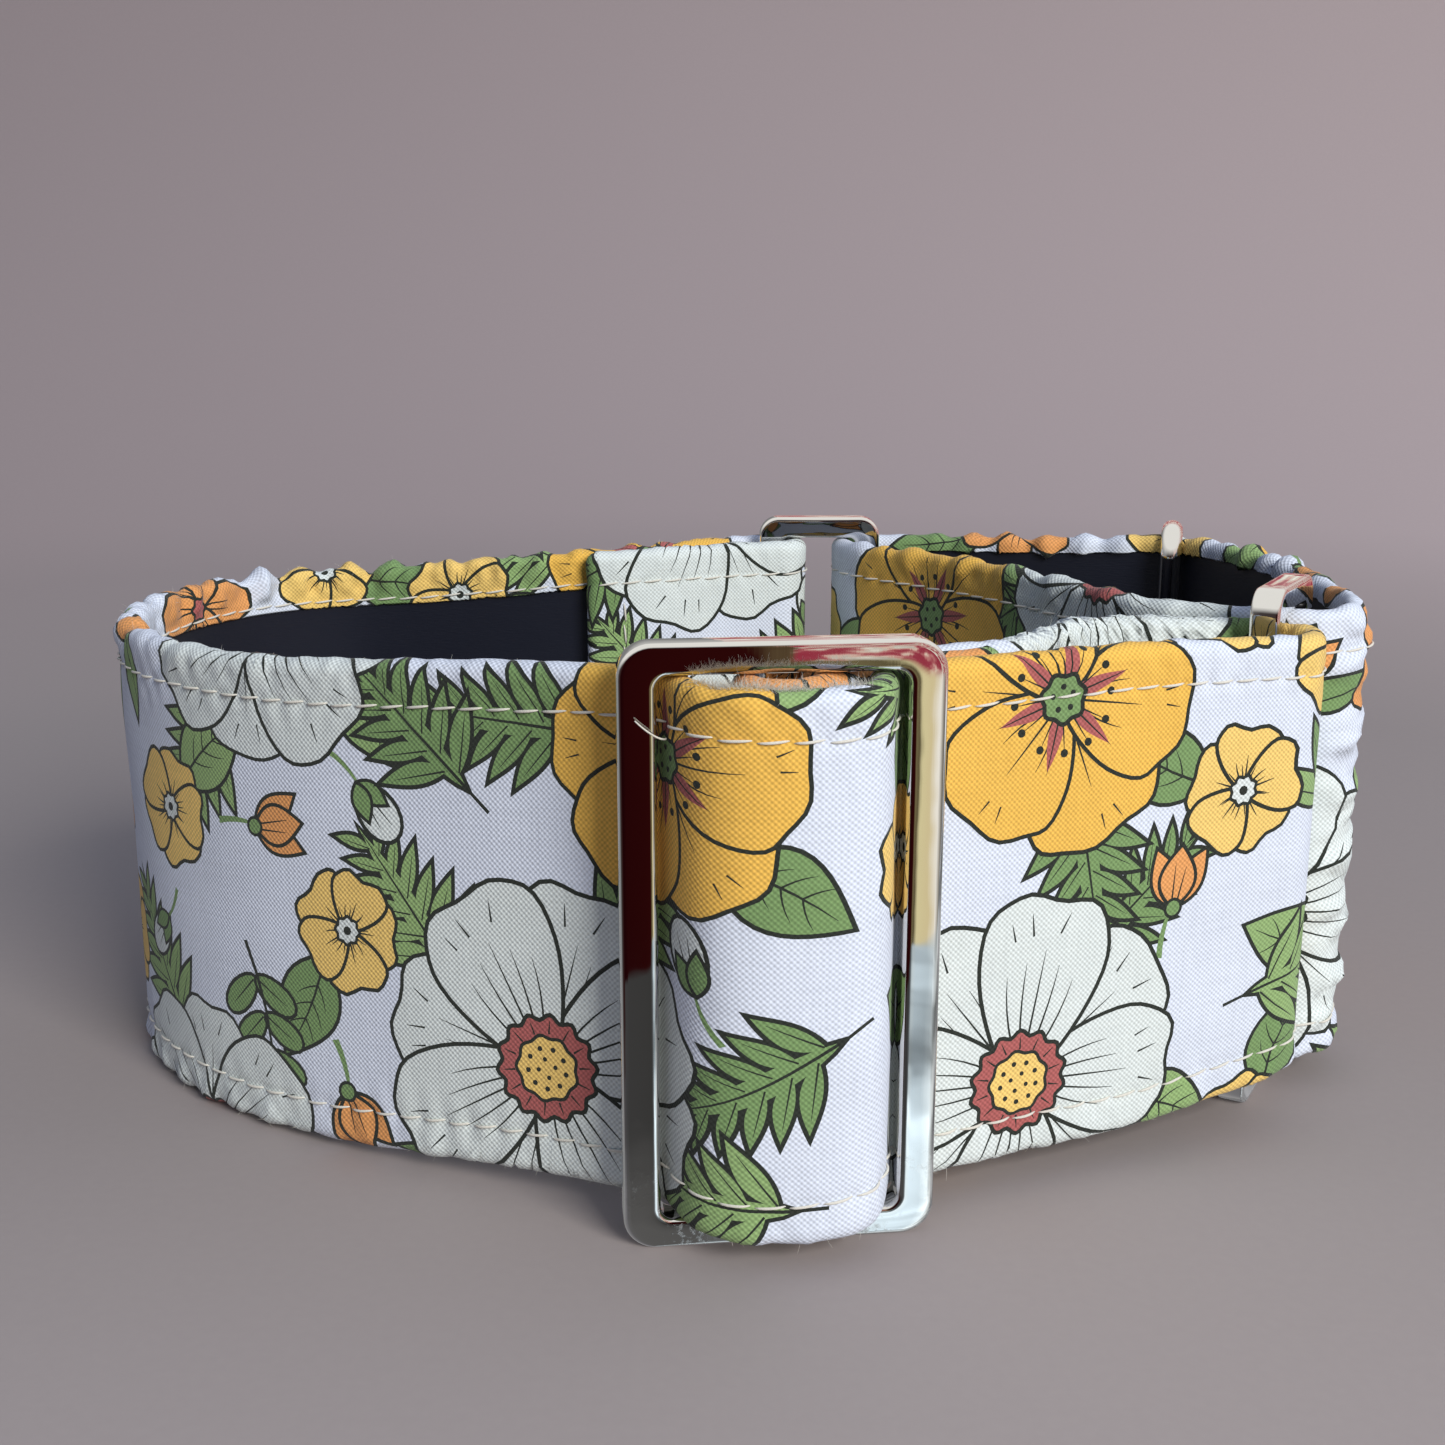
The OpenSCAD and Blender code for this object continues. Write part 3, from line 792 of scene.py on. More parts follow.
def triangulated(shell, shapes):
    """Flat triangles over the cloth that follow every outline, and each one's top shape."""
    low = np.array([-shell.end_roll, -shell.half])
    high = np.array([shell.route.length + shell.end_roll, shell.half])
    points = [tuple(low), (high[0], low[1]), tuple(high), (low[0], high[1])]
    edges = []
    for outline, _ in shapes:
        first = len(points)
        count = len(outline)
        points.extend(map(tuple, np.clip(outline, low, high)))
        edges.extend((first + i, first + (i + 1) % count) for i in range(count))
    points.extend(map(tuple, shell_grid(shell)))
    verts, _, tris, _, _, _ = delaunay_2d_cdt(points, edges, [], 0, 1e-4, False)
    verts = np.array([tuple(v) for v in verts])
    tris = np.array(tris)
    return verts, tris, top_shapes(verts[tris].mean(axis=1), shapes)


# Distances between the cloth's points, along and across
COARSE_GRID = (1.2, 1.4)
FINE_GRID = (0.82, 0.56)
FINE_FROM = STITCH_V - 3


def shell_grid(shell):
    """Evenly strewn points, closer together near the two edges, and both cut ends."""
    length = shell.route.length
    ends = np.linspace(0, shell.end_roll, 9)
    rows = np.concatenate([np.arange(0, FINE_FROM, COARSE_GRID[1]),
                           np.arange(FINE_FROM, shell.half, FINE_GRID[1])])
    rows = np.concatenate([-rows[::-1], rows[1:], [-shell.half, shell.half]])
    points = []
    for k, v in enumerate(rows):
        grid = FINE_GRID if abs(v) > FINE_FROM else COARSE_GRID
        count = round(length / grid[0])
        u = (np.arange(count - 1) + 0.5 + 0.5 * (k % 2)) * length / count
        u = np.concatenate([-ends, u, length + ends])
        points.append(np.column_stack([u, np.full(len(u), v)]))
    return np.vstack(points)


SMALLEST_FACE = 1e-5


def cloth_object(name, shell, shapes):
    flat, tris, tops = triangulated(shell, shapes)
    place = shell.points(flat[:, 0], flat[:, 1])
    sides = place[tris[:, 1:]] - place[tris[:, :1]]
    whole = np.linalg.norm(np.cross(sides[:, 0], sides[:, 1]), axis=1) > SMALLEST_FACE
    tris, tops = tris[whole], tops[whole]
    used, tris = np.unique(tris, return_inverse=True)
    tris = tris.reshape(-1, 3)
    flat = flat[used]
    obj = new_object(name, place[used], tris.tolist())
    mesh = obj.data
    colours = np.array([c for _, c in shapes] + [GROUND])[tops]
    paint = mesh.color_attributes.new("print", "FLOAT_COLOR", "CORNER")
    rgba = np.ones((len(tris) * 3, 4), np.float32)
    rgba[:, :3] = np.repeat(colours, 3, axis=0)
    paint.data.foreach_set("color", rgba.ravel())
    cloth_uv = mesh.uv_layers.new(name="Cloth")
    corners = flat[tris.ravel()].astype(np.float32)
    cloth_uv.uv.foreach_set("vector", corners.ravel())
    mesh.normals_split_custom_set_from_vertices(
        shell.normals(flat[:, 0], flat[:, 1]).tolist())
    return obj


# ---- Webbing and lining inside the shell ----
WEBBING_HALF = HALF_W - 1.1
WEBBING_FACES = (-0.3, 0.7)
LINING_UNDER = 1.0
LINING_OUT = 0.8


def band_object(name, shell):
    """Webbing that follows the shell's route, as a closed solid."""
    route = shell.route
    u = route.steps(0.8)
    near, far = WEBBING_FACES
    corners = [(near, 1), (near, -1), (far, -1), (far, 1)]
    rings = np.stack([route.place(u, out, shell.leaned(u, side * WEBBING_HALF))
                      for out, side in corners], axis=1)
    faces = grid_faces(len(u), 4, wrap_rows=route.closed, wrap_cols=True)
    if not route.closed:
        last = 4 * (len(u) - 1)
        faces += [(3, 2, 1, 0), (last, last + 1, last + 2, last + 3)]
    return new_object(name, rings.reshape(-1, 3), faces, smooth=False)


def lining_object(name, shell):
    """Satin face between the two hems."""
    route = shell.route
    u = route.steps(0.9)
    half = HALF_W - (shell.hem_end - ROLL_END + ROLL_R) + LINING_UNDER
    w = np.linspace(-half, half, 28)
    uu, ww = np.meshgrid(u, w, indexing="ij")
    uu, ww = uu.ravel(), ww.ravel()
    wave = 0.1 * ripple(uu, ww, 19, 0.6, route.length, shell.seed + 9)
    puff = 0.08 * np.cos(ww / half * math.pi / 2)
    out = -LINING_OUT - puff * (1 + wave)
    return new_object(name, route.place(uu, out, shell.leaned(uu, ww)),
                      grid_faces(len(u), len(w), wrap_rows=route.closed))


# ---- Thread ----


def tubes_object(name, bundles):
    """Closed tubes round many lines: bundles of (lines, normals, radii, sides)."""
    verts, faces, first = [], [], 0
    for lines, normals, radii, sides in bundles:
        tangents = np.gradient(lines, axis=1)
        tangents /= np.linalg.norm(tangents, axis=2, keepdims=True)
        across = np.cross(tangents, normals)
        across /= np.linalg.norm(across, axis=2, keepdims=True)
        over = np.cross(across, tangents)
        steps = lines.shape[1]
        one = grid_faces(steps, sides, wrap_cols=True)
        one += [tuple(range(sides - 1, -1, -1)), tuple(range(sides * (steps - 1), sides * steps))]
        angles = np.linspace(0, 2 * math.pi, sides, endpoint=False)
        rings = np.cos(angles)[:, None] * across[:, :, None] + np.sin(angles)[:, None] * over[:, :, None]
        rings = lines[:, :, None] + rings * np.asarray(radii)[:, None, None]
        verts.append(rings.reshape(-1, 3))
        for _ in lines:
            faces += [tuple(first + k for k in face) for face in one]
            first += sides * steps
    return new_object(name, np.vstack(verts), faces)


THREAD_R = 0.14
STITCH_SHARE = 0.44
FIBRE_R = 0.016
END_SEAM_IN = 3.4
END_SEAM_HALF = STITCH_V - 1.5


def seam(shell, rng, start, stop):
    """Bundle of lockstitches in a row from one place on the cloth to another."""
    start, stop = np.array(start, float), np.array(stop, float)
    count = int(np.linalg.norm(stop - start) / STITCH_PITCH)
    way = (stop - start) / np.linalg.norm(stop - start)
    across = np.array([-way[1], way[0]])
    middles = (np.arange(count) + 0.5) * STITCH_PITCH
    drift = 0.12 * np.sin(middles / 9 + start[1]) + rng.normal(0, 0.03, count)
    t = np.linspace(-1, 1, 7)
    forward = middles[:, None] + t * STITCH_PITCH * STITCH_SHARE
    aside = drift[:, None] + 0.1 * t
    place = (start + forward[..., None] * way + aside[..., None] * across).reshape(-1, 2)
    above = np.tile(0.1 + 0.1 * (1 - t * t) - 0.12 * t**4, count)
    lines = shell.points(place[:, 0], place[:, 1], above).reshape(count, 7, 3)
    normals = shell.normals(place[:, 0], place[:, 1]).reshape(count, 7, 3)
    return lines, normals, THREAD_R * np.array([0.45, 0.85, 1, 1, 1, 0.85, 0.45]), 6


def edge_seams(shell, lines):
    """Stitch lines that run the whole length of a strap."""
    return [((0, v), (shell.route.length, v)) for line in lines for v in (line, -line)]


def end_seams(shell):
    """Stitch lines across both sewn ends of a strap."""
    return [((u, -END_SEAM_HALF), (u, END_SEAM_HALF))
            for u in (END_SEAM_IN, shell.route.length - END_SEAM_IN)]


def stitches_object(name, shell, seams):
    rng = np.random.default_rng(shell.seed + 20)
    return tubes_object(name, [seam(shell, rng, start, stop) for start, stop in seams])


def fibres(shell, rng, count, span, v_span, reach):
    """Bundle of short hairs that stand off a stretch of the cloth."""
    u = rng.uniform(*span, count)
    v = rng.uniform(*v_span, count)
    root = shell.points(u, v, -0.1)
    normals = shell.normals(u, v)
    way = normals + rng.normal(0, 0.55, (count, 3))
    way /= np.linalg.norm(way, axis=1, keepdims=True)
    bend = rng.normal(0, 0.35, (count, 3))
    t = np.linspace(0, 1, 5)[None, :, None]
    size = rng.uniform(*reach, count)[:, None, None]
    lines = root[:, None] + size * (way[:, None] * t + bend[:, None] * t * t)
    lines[..., 2] = np.maximum(lines[..., 2], ABOVE_FLOOR + FIBRE_R)
    beside = np.cross(way, rng.normal(0, 1, (count, 3)))
    return lines, np.repeat(beside[:, None], 5, axis=1), FIBRE_R * np.array([1, 1, 0.9, 0.7, 0.4]), 3


def loose_thread():
    """Thread end that sticks out over the slider's left side bar."""
    across, front = along(SLIDER_TURN), along(SLIDER_TURN - 90)
    inner = SLIDER_W / 2 - SLIDER_SIDE_BAR
    face = SLIDER_T / 2
    bends = np.array([(-inner + 0.9, 0.4, 19.6), (-inner + 0.5, face + 0.5, 19.7),
                      (-inner - 0.7, face + 0.9, 20.4), (-inner - 1.9, face + 0.6, 21.6)])
    path = bezier(bends, np.linspace(0, 1, 14)[:, None])
    plan = SLIDER_AT + path[:, :1] * across + path[:, 1:2] * front
    line = np.column_stack([plan, MID_Z + path[:, 2]])
    normal = np.tile([*front, 0.0], (len(line), 1))
    return line[None], normal[None], np.linspace(0.1, 0.07, 14), 6


def loose_fibres_object(name, shell):
    """Frayed raw edge in the slider's window, fine fuzz on the edges and a thread end."""
    rng = np.random.default_rng(shell.seed + 30)
    marks = shell.route.marks
    top = FLAT_HALF + ROLL_R * math.pi / 2
    rise, crest, dive = (sum(marks[name]) / 2 for name in ("rise", "crest", "dive"))
    return tubes_object(name, [
        fibres(shell, rng, 700, (rise - 2, crest + 1), (top - 0.5, top + 0.6), (0.3, 1.0)),
        fibres(shell, rng, 260, (crest, dive), (top - 0.5, top + 0.6), (0.3, 0.9)),
        fibres(shell, rng, 260, (0, shell.route.length), (top - 1.5, top + 2.5), (0.25, 0.9)),
        fibres(shell, rng, 140, (0, shell.route.length), (-top - 0.5, -top + 1.5), (0.25, 0.9)),
        loose_thread()])


# ---- Metal parts ----


def contour(width, height, radius, arc_steps, side_steps):
    """Points round a rounded rectangle, anticlockwise from the right side."""
    centres = np.array([(1, 1), (-1, 1), (-1, -1), (1, -1)])
    centres = centres * (width / 2 - radius, height / 2 - radius)
    points = []
    for k in range(4):
        points += [centres[k] + radius * along(90 * k + 90 * i / arc_steps)
                   for i in range(arc_steps + 1)]
        start = points[-1]
        stop = centres[(k + 1) % 4] + radius * along(90 * (k + 1))
        points += [start + (stop - start) * i / side_steps for i in range(1, side_steps)]
    return np.array(points)


# Softened edges of the cast frames
FACE_DOME = 0.012
RIM = (0.42, 0.5)
EDGE_R = 0.42


def frame_section(thick):
    """Half of a bar's section: the near edge's name, the distance from it, and depth."""
    half = thick / 2
    turns = np.radians(np.linspace(0, 90, 7))
    face = [(RIM[0] + 0.3, 0.7), (RIM[0] + 0.7, 1)]
    return [
        *[("inner", RIM[0] * (1 - math.cos(a)), half - RIM[1] * (1 - math.sin(a))) for a in turns],
        *[("inner", x, half + share * FACE_DOME) for x, share in face],
        ("outer", EDGE_R + 0.3, half + 0.7 * FACE_DOME),
        *[("outer", EDGE_R * (1 - math.sin(a)), half - EDGE_R * (1 - math.cos(a))) for a in turns]]


def cast_frame(window_w, bar_w, thick, corner_r, window_r, centre_bar=False):
    """Rectangular frame with softened edges, in the XZ plane about its own centre."""
    window_h = METAL_H - 2 * END_BAR
    outer = contour(window_w + 2 * bar_w, METAL_H, corner_r, 10, 6)
    inner = contour(window_w, window_h, window_r, 10, 6)
    front = frame_section(thick)
    section = front + [(edge, x, -y) for edge, x, y in reversed(front)]
    verts = []
    for far, near in zip(outer, inner):
        width = np.linalg.norm(far - near)
        way = (far - near) / width
        for edge, x, depth in section:
            p = near + way * (x if edge == "inner" else width - x)
            verts.append((p[0], -depth, p[1]))
    faces = grid_faces(len(outer), len(section), wrap_rows=True, wrap_cols=True)
    if centre_bar:
        first, far = len(verts), METAL_H / 2 - 0.5 * END_BAR
        bar = contour(CENTRE_BAR_W, CENTRE_BAR_T, 0.6, 5, 2)
        size = len(bar)
        verts += [(x, y, z) for z in (-far, far) for x, y in bar]
        faces += [tuple(first + k for k in face) for face in (
            *grid_faces(2, size, wrap_cols=True), range(size - 1, -1, -1), range(size, 2 * size))]
    return verts, faces


def placed(verts, at, turn):
    """Points turned about the upright axis and moved to a plan position at mid-height."""
    verts = np.array(verts, float)
    c, s = along(turn)
    x = at[0] + c * verts[:, 0] - s * verts[:, 1]
    y = at[1] + s * verts[:, 0] + c * verts[:, 1]
    return np.column_stack([x, y, verts[:, 2] + MID_Z])


def slider_object():
    verts, faces = cast_frame(
        SLIDER_W - 2 * SLIDER_SIDE_BAR, SLIDER_SIDE_BAR, SLIDER_T, 3.0, 1.2, centre_bar=True)
    return new_object("slider_frame", placed(verts, SLIDER_AT, SLIDER_TURN), faces)


def ring_object(name, at, turn):
    verts, faces = cast_frame(RING_PITCH - RING_BAR, RING_BAR, RING_T, 2.6, 1.0)
    middle = at + RING_PITCH / 2 * along(turn)
    return new_object(name, placed(verts, middle, turn), faces)


def d_ring_object():
    """Wire bent to a D: straight bar at the back, bow in front."""
    bar = D_HALF_H - D_BEND_R
    bend = np.linspace(0, 90, 12)
    arcs = [(D_BEND_R, bar, D_BEND_R, 180 - bend[1:]),
            (D_BOW_OFFSET, 0, D_HALF_H, np.linspace(90, -90, 72)),
            (D_BEND_R, -bar, D_BEND_R, 270 - bend[:-1])]
    path = [np.array([0, z]) for z in np.linspace(-bar, bar, 25)]
    for x, z, radius, turns in arcs:
        path += [np.array([x, z]) + radius * along(a) for a in turns]
    path = np.array([(x, 0, z) for x, z in path])
    ahead = np.roll(path, -1, axis=0) - np.roll(path, 1, axis=0)
    ahead /= np.linalg.norm(ahead, axis=1, keepdims=True)
    side = np.array([0, 1, 0])
    turns = np.linspace(0, 2 * math.pi, 20, endpoint=False)
    verts = [p + D_WIRE / 2 * (math.cos(a) * np.cross(tangent, side) + math.sin(a) * side)
             for p, tangent in zip(path, ahead) for a in turns]
    faces = grid_faces(len(path), len(turns), wrap_rows=True, wrap_cols=True)
    return new_object("d_ring_wire", placed(verts, D_RING_AT, D_TURN), faces)


# ---- Materials ----


def rgba(colour):
    """A colour for a socket; a grey may be one number."""
    return (*colour, 1) if isinstance(colour, tuple) else (colour, colour, colour, 1)


class Graph:
    """A node tree, with short ways to add nodes to it."""

    def __init__(self, tree):
        self.tree = tree

    def node(self, kind, inputs=(), output=0, **settings):
        """One output of a new node, or all of them."""
        made = self.tree.nodes.new("ShaderNode" + kind)
        for key, value in settings.items():
            setattr(made, key, value)
        for key, value in inputs.items() if isinstance(inputs, dict) else enumerate(inputs):
            if isinstance(value, bpy.types.NodeSocket):
                self.tree.links.new(value, made.inputs[key])
            else:
                made.inputs[key].default_value = value
        return made.outputs[:] if output is None else made.outputs[output]

    def math(self, operation, a, b=0.0):
        return self.node("Math", (a, b), operation=operation)

    def add(self, a, b):
        return self.math("ADD", a, b)

    def multiply(self, a, b):
        return self.math("MULTIPLY", a, b)

    def vector(self, operation, a, b=(0, 0, 0), output=0):
        return self.node("VectorMath", (a, b), output, operation=operation)

    def times(self, vector, factors):
        return self.vector("MULTIPLY", vector, factors)

    def axes(self, vector):
        return self.node("SeparateXYZ", [vector], None)

    def noise(self, vector, scale, detail=2.0, output="Fac"):
        return self.node("TexNoise", {"Vector": vector, "Scale": scale, "Detail": detail}, output)

    def between(self, value, low, high, from_low=0.0, from_high=1.0):
        return self.node("MapRange", (value, from_low, from_high, low, high))

    def mixed(self, share, first, second):
        colours = [c if isinstance(c, bpy.types.NodeSocket) else rgba(c) for c in (first, second)]
        return self.node("MixRGB", (share, *colours))

    def ramp(self, value, stops):
        colour = self.node("ValToRGB", [value])
        elements = colour.node.color_ramp.elements
        while len(elements) < len(stops):
            elements.new(0.5)
        for element, (place, stop) in zip(elements, stops):
            element.position = place
            element.color = rgba(stop)
        return colour


class Paint(Graph):
    """A material's node tree, with constants on the shader's own sockets."""

    def __init__(self, name, colour, roughness, **constants):
        self.material = bpy.data.materials.new(name)
        self.material.use_nodes = True
        super().__init__(self.material.node_tree)
        self.shader = self.tree.nodes["Principled BSDF"]
        constants.update({"Base Color": rgba(colour), "Roughness": roughness})
        for socket, value in constants.items():
            self.shader.inputs[socket].default_value = value

    def place(self):
        return self.node("TexCoord", output="Object")

    def link(self, value, socket):
        self.tree.links.new(value, self.shader.inputs[socket])

    def bump(self, height, distance_mm):
        self.link(self.node("Bump", {"Height": height, "Distance": distance_mm * MM}), "Normal")


THREAD_PITCH = 0.27


def woven(paint, pitch):
    """Height of a plain weave, from 0 to 1, and the cloth's own coordinates."""
    cloth = paint.node("UVMap", uv_map="Cloth")
    waves = [paint.math("SINE", paint.multiply(axis, math.pi / pitch))
             for axis in paint.axes(cloth)[:2]]
    return paint.between(paint.multiply(*waves), 0, 1, -1, 1), cloth


def yarns(paint, cloth):
    """Uneven yarns that run along and across the cloth."""
    ways = [paint.noise(paint.times(cloth, scale), 1.0) for scale in ((0.16, 3.4, 1), (3.4, 0.16, 1))]
    return paint.multiply(paint.add(*ways), 0.5)


def cotton_material():
    paint = Paint("printed_cotton", GROUND, 0.85, **{
        "Specular IOR Level": 0.25, "Sheen Weight": 0.12, "Sheen Roughness": 0.5})
    weave, cloth = woven(paint, THREAD_PITCH)
    slubs = yarns(paint, cloth)
    blotches = paint.noise(paint.times(cloth, (0.13, 0.13, 1)), 1.0, 3.0)
    # Painted light: the weave's height paints the print lighter on the thread crests and darker in the
    # gaps between them, a painted highlight and shade; the uneven yarns and the blotches are the cloth's
    # own tone.
    weave_shade_and_yarn_tone = paint.add(paint.between(weave, 0.72, 1.16), paint.between(slubs, -0.16, 0.16))
    weave_shade_and_yarn_tone = paint.add(weave_shade_and_yarn_tone, paint.between(blotches, -0.07, 0.07))
    colour = paint.node("Attribute", output="Color", attribute_name="print")
    paint.link(paint.times(colour, weave_shade_and_yarn_tone), "Base Color")
    paint.link(paint.between(weave, 0.95, 0.78), "Roughness")
    paint.bump(paint.add(weave, paint.multiply(slubs, 0.9)), 0.055)
    return paint.material


def satin_material():
    paint = Paint("satin_lining", (0.009, 0.0105, 0.019), 0.42, **{"Sheen Weight": 0.08})
    place = paint.place()
    threads = paint.noise(paint.times(place, (900, 900, 5200)), 1.0, 1.0)
    drift = paint.noise(place, 90.0)
    paint.link(paint.between(drift, 0.36, 0.5), "Roughness")
    paint.bump(paint.add(threads, paint.multiply(drift, 2.0)), 0.02)
    return paint.material


def nickel_material():
    paint = Paint("polished_nickel", (0.8, 0.78, 0.745), 0.03, Metallic=1.0)
    place = paint.place()
    smears = paint.noise(place, 130.0, 4.0)
    low = paint.between(paint.axes(place)[2], 1, 0, 0.003, 0.009)
    scuffs = paint.between(paint.noise(place, 1500.0, 4.0), 0, 0.3, 0.5, 0.62)
    worn = paint.multiply(paint.multiply(low, scuffs), paint.between(smears, 0, 1, 0.4, 0.6))
    polish = paint.between(smears, 0.012, 0.05, 0.4, 0.75)
    paint.link(paint.add(polish, worn), "Roughness")
    waves = paint.noise(place, 260.0, 1.0)
    hairlines = paint.noise(paint.times(place, (5200, 5200, 260)), 1.0)
    height = paint.add(waves, paint.multiply(hairlines, 0.02))
    paint.bump(paint.add(height, paint.multiply(worn, 0.5)), 0.012)
    return paint.material


def thread_material():
    cream = (0.74, 0.71, 0.62)
    paint = Paint("cream_thread", cream, 0.75, **{"Sheen Weight": 0.15})
    fibres = paint.noise(paint.place(), 9000.0)
    paint.link(paint.times(cream, paint.between(fibres, 0.8, 1.15)), "Base Color")
    paint.bump(fibres, 0.03)
    return paint.material


def webbing_material():
    black = (0.05, 0.05, 0.055)
    rib_pitch = 0.0014
    paint = Paint("woven_webbing", black, 0.8)
    place = paint.place()
    rows = paint.math("SINE", paint.multiply(paint.axes(place)[2], 2 * math.pi / rib_pitch))
    ribs = paint.add(rows, paint.noise(place, 1400.0, 1.0))
    paint.link(paint.times(black, paint.between(ribs, 0.6, 1.3, -1, 2)), "Base Color")
    paint.bump(ribs, 0.15)
    return paint.material


FLOOR_COLOUR = (0.355, 0.31, 0.298)
WALL_COLOUR = (0.335, 0.272, 0.258)


def stage_material():
    paint = Paint("pale_floor", FLOOR_COLOUR, 0.75)
    place = paint.place()
    x, y, _ = paint.axes(place)
    far = paint.between(paint.vector("LENGTH", place, output="Value"), 0, 1, 0.2, 0.5)
    # Painted light: the floor is painted brighter towards the camera, up to 1.12 times its colour in
    # front and 0.96 under and behind the object.
    near_floor_painted_lighter = paint.times(FLOOR_COLOUR, paint.between(y, 1.12, 0.96, -0.085, -0.03))
    # Painted light: the far floor and the wall are painted brighter towards the right, where the key
    # light stands, from 1.05 to 2.15 times the wall colour.
    wall_painted_lit_right = paint.times(WALL_COLOUR, paint.between(x, 1.05, 2.15, -0.5, 0.5))
    grain = paint.between(paint.noise(place, 900.0, 3.0), 0.97, 1.03)
    paint.link(paint.times(paint.mixed(far, near_floor_painted_lighter, wall_painted_lit_right), grain), "Base Color")
    return paint.material


def wear(obj, mat):
    obj.data.materials.clear()
    obj.data.materials.append(mat)


# ---- Build ----
strap_line = strap_route()
loop_line = loop_route()
strap_marks = strap_line.marks
loop_marks = loop_line.marks
strap = Shell(
    strap_line, 3, HEM_W,
    looseness=[
        ("tab_end", 0.4), ("tab", 0.6), ("back_fold", 0.0), ("back_run", 0.8), ("tab_start", 1.5),
        ("left_back", 2.0), ("left_turn", 1.9), ("left_end", 1.2), ("front_left", 0.4),
        ("left_bar", 0.1), ("crest", 0.35), ("right_bar", 0.1), ("front_run", 0.35),
        ("front_fold", 0.5), ("return_out", 0.3), ("return_mid", 0.8), ("return_in", 0.5),
        ("return_end", 0.1), ("tail", 0.1)],
    heights=[
        ("left_bar", 0, 0), ("crest", -0.2, -0.5), ("right_bar", 0, 0), ("front_run", 0, 0.3),
        ("front_fold", -0.8, 3.0), ("return_mid", 0, 0)],
    roped=(strap_marks["return_out"][0], strap_marks["return_in"][1]))
loop = Shell(
    loop_line, 11, LOOP_HEM_W,
    looseness=[
        ("back_fold", 0.0), ("inner_back", 0.8), ("inner", 1.0), ("inner_front", 0.4),
        ("front_turn", 0.5), ("outer", 1.7), ("d_fold", 1.0), ("outer_back", 1.4)],
    heights=[
        ("back_fold", 0, 0), ("inner", 0.3, 0), ("front_turn", 0, 0), ("outer", 1.2, 0.8),
        ("d_fold", 1.3, 0.8), ("outer_back", 0.4, 0.2)],
    bunched=(loop_marks["front_turn"][0] + 4.5, loop_marks["outer"][0] + 4))

cotton = cotton_material()
satin = satin_material()
nickel = nickel_material()
thread = thread_material()
core = webbing_material()
# Piece, material, body, slot and the CAD node that it replaces
pieces = [
    (cloth_object("strap_cotton", strap, floral(strap, 5)),
     cotton, "strap", "print_cotton", "strap_shell"),
    (cloth_object("loop_cotton", loop, floral(loop, 8)),
     cotton, "control_loop", "print_cotton", "loop_shell"),
    (band_object("strap_webbing_core", strap), core, "strap", "webbing", "strap_webbing"),
    (band_object("loop_webbing_core", loop), core, "control_loop", "webbing", "loop_webbing"),
    (lining_object("strap_satin", strap), satin, "strap", "satin_lining", "strap_lining"),
    (lining_object("loop_satin", loop), satin, "control_loop", "satin_lining", "loop_lining"),
    (stitches_object("strap_topstitching", strap,
                     edge_seams(strap, (STITCH_V, INNER_STITCH_V)) + end_seams(strap)),
     thread, "strap", "print_cotton", None),
    (stitches_object("loop_topstitching", loop, edge_seams(loop, (STITCH_V,))),
     thread, "control_loop", "print_cotton", None),
    (loose_fibres_object("strap_loose_fibres", strap), thread, "strap", "print_cotton", None),
    (ring_object("front_ring_frame", FRONT_RING_AT, FRONT_RING_TURN),
     nickel, "front_ring", "polished_metal", "front_ring"),
    (ring_object("back_ring_frame", BACK_RING_AT, 0),
     nickel, "back_ring", "polished_metal", "back_ring"),
    (slider_object(), nickel, "strap", "polished_metal", "slider"),
    (d_ring_object(), nickel, "d_ring", "polished_metal", "d_ring")]
for piece, mat, body, slot, node in pieces:
    wear(piece, mat)
    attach(piece, body)
    if node:
        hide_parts(node)

# ---- Stage, light and camera ----
# Lengths here are metres, but the lens and its sensor are millimetres.
FLOOR_R = 0.42
SWEEP_R = 0.5
WALL_H = 1.6
KEY_AT = (0.65, -1.0, 0.67)
KEY_AIM = (0, 0, 0.02)
KEY_SIZE = 0.58
KEY_POWER = 18.0
KEY_COLOUR = (1.0, 0.985, 0.95)
CAMERA_AT = (-0.0005, -0.1954, 0.0825)
CAMERA_TILT = 76.63
LENS_MM = 42.353
SENSOR_MM = 36


def revolved(name, profile, steps=96):
    """Surface of revolution about the upright axis, in metres."""
    verts, faces = [], []
    for k in range(steps):
        c, s = along(360 * k / steps)
        verts += [(r * c / MM, r * s / MM, z / MM) for r, z in profile]
    faces = grid_faces(steps, len(profile), wrap_rows=True)
    return new_object(name, verts, faces)


def stage_floor(mat):
    """Round floor that sweeps up to a wall far outside the object; only cameras see the wall."""
    floor = revolved("floor", [(0, 0), (0.1, 0), (0.2, 0), (0.3, 0), (FLOOR_R, 0)])
    sweep = [(FLOOR_R + SWEEP_R * math.sin(a), SWEEP_R * (1 - math.cos(a)))
             for a in np.linspace(0, math.pi / 2, 40)]
    wall = revolved("backdrop", sweep + [(FLOOR_R + SWEEP_R, WALL_H)])
    for kind in ("diffuse", "glossy", "transmission", "shadow"):
        setattr(wall, "visible_" + kind, False)
    floor.visible_glossy = False
    for obj in (floor, wall):
        wear(obj, mat)


def key_light():
    """Large soft light, which the metal doesn't reflect."""
    data = bpy.data.lights.new("key", "AREA")
    data.size = KEY_SIZE
    data.energy = KEY_POWER
    data.color = KEY_COLOUR
    obj = scene_object("key", data)
    obj.location = KEY_AT
    obj.rotation_euler = (Vector(KEY_AIM) - Vector(KEY_AT)).to_track_quat("-Z", "Y").to_euler()
    obj.visible_camera = False
    obj.visible_glossy = False


LIGHT_SIDE = (0.5, -0.35, 0.79)
CAMERA_SIDE = (0.05, -0.996, 0.08)
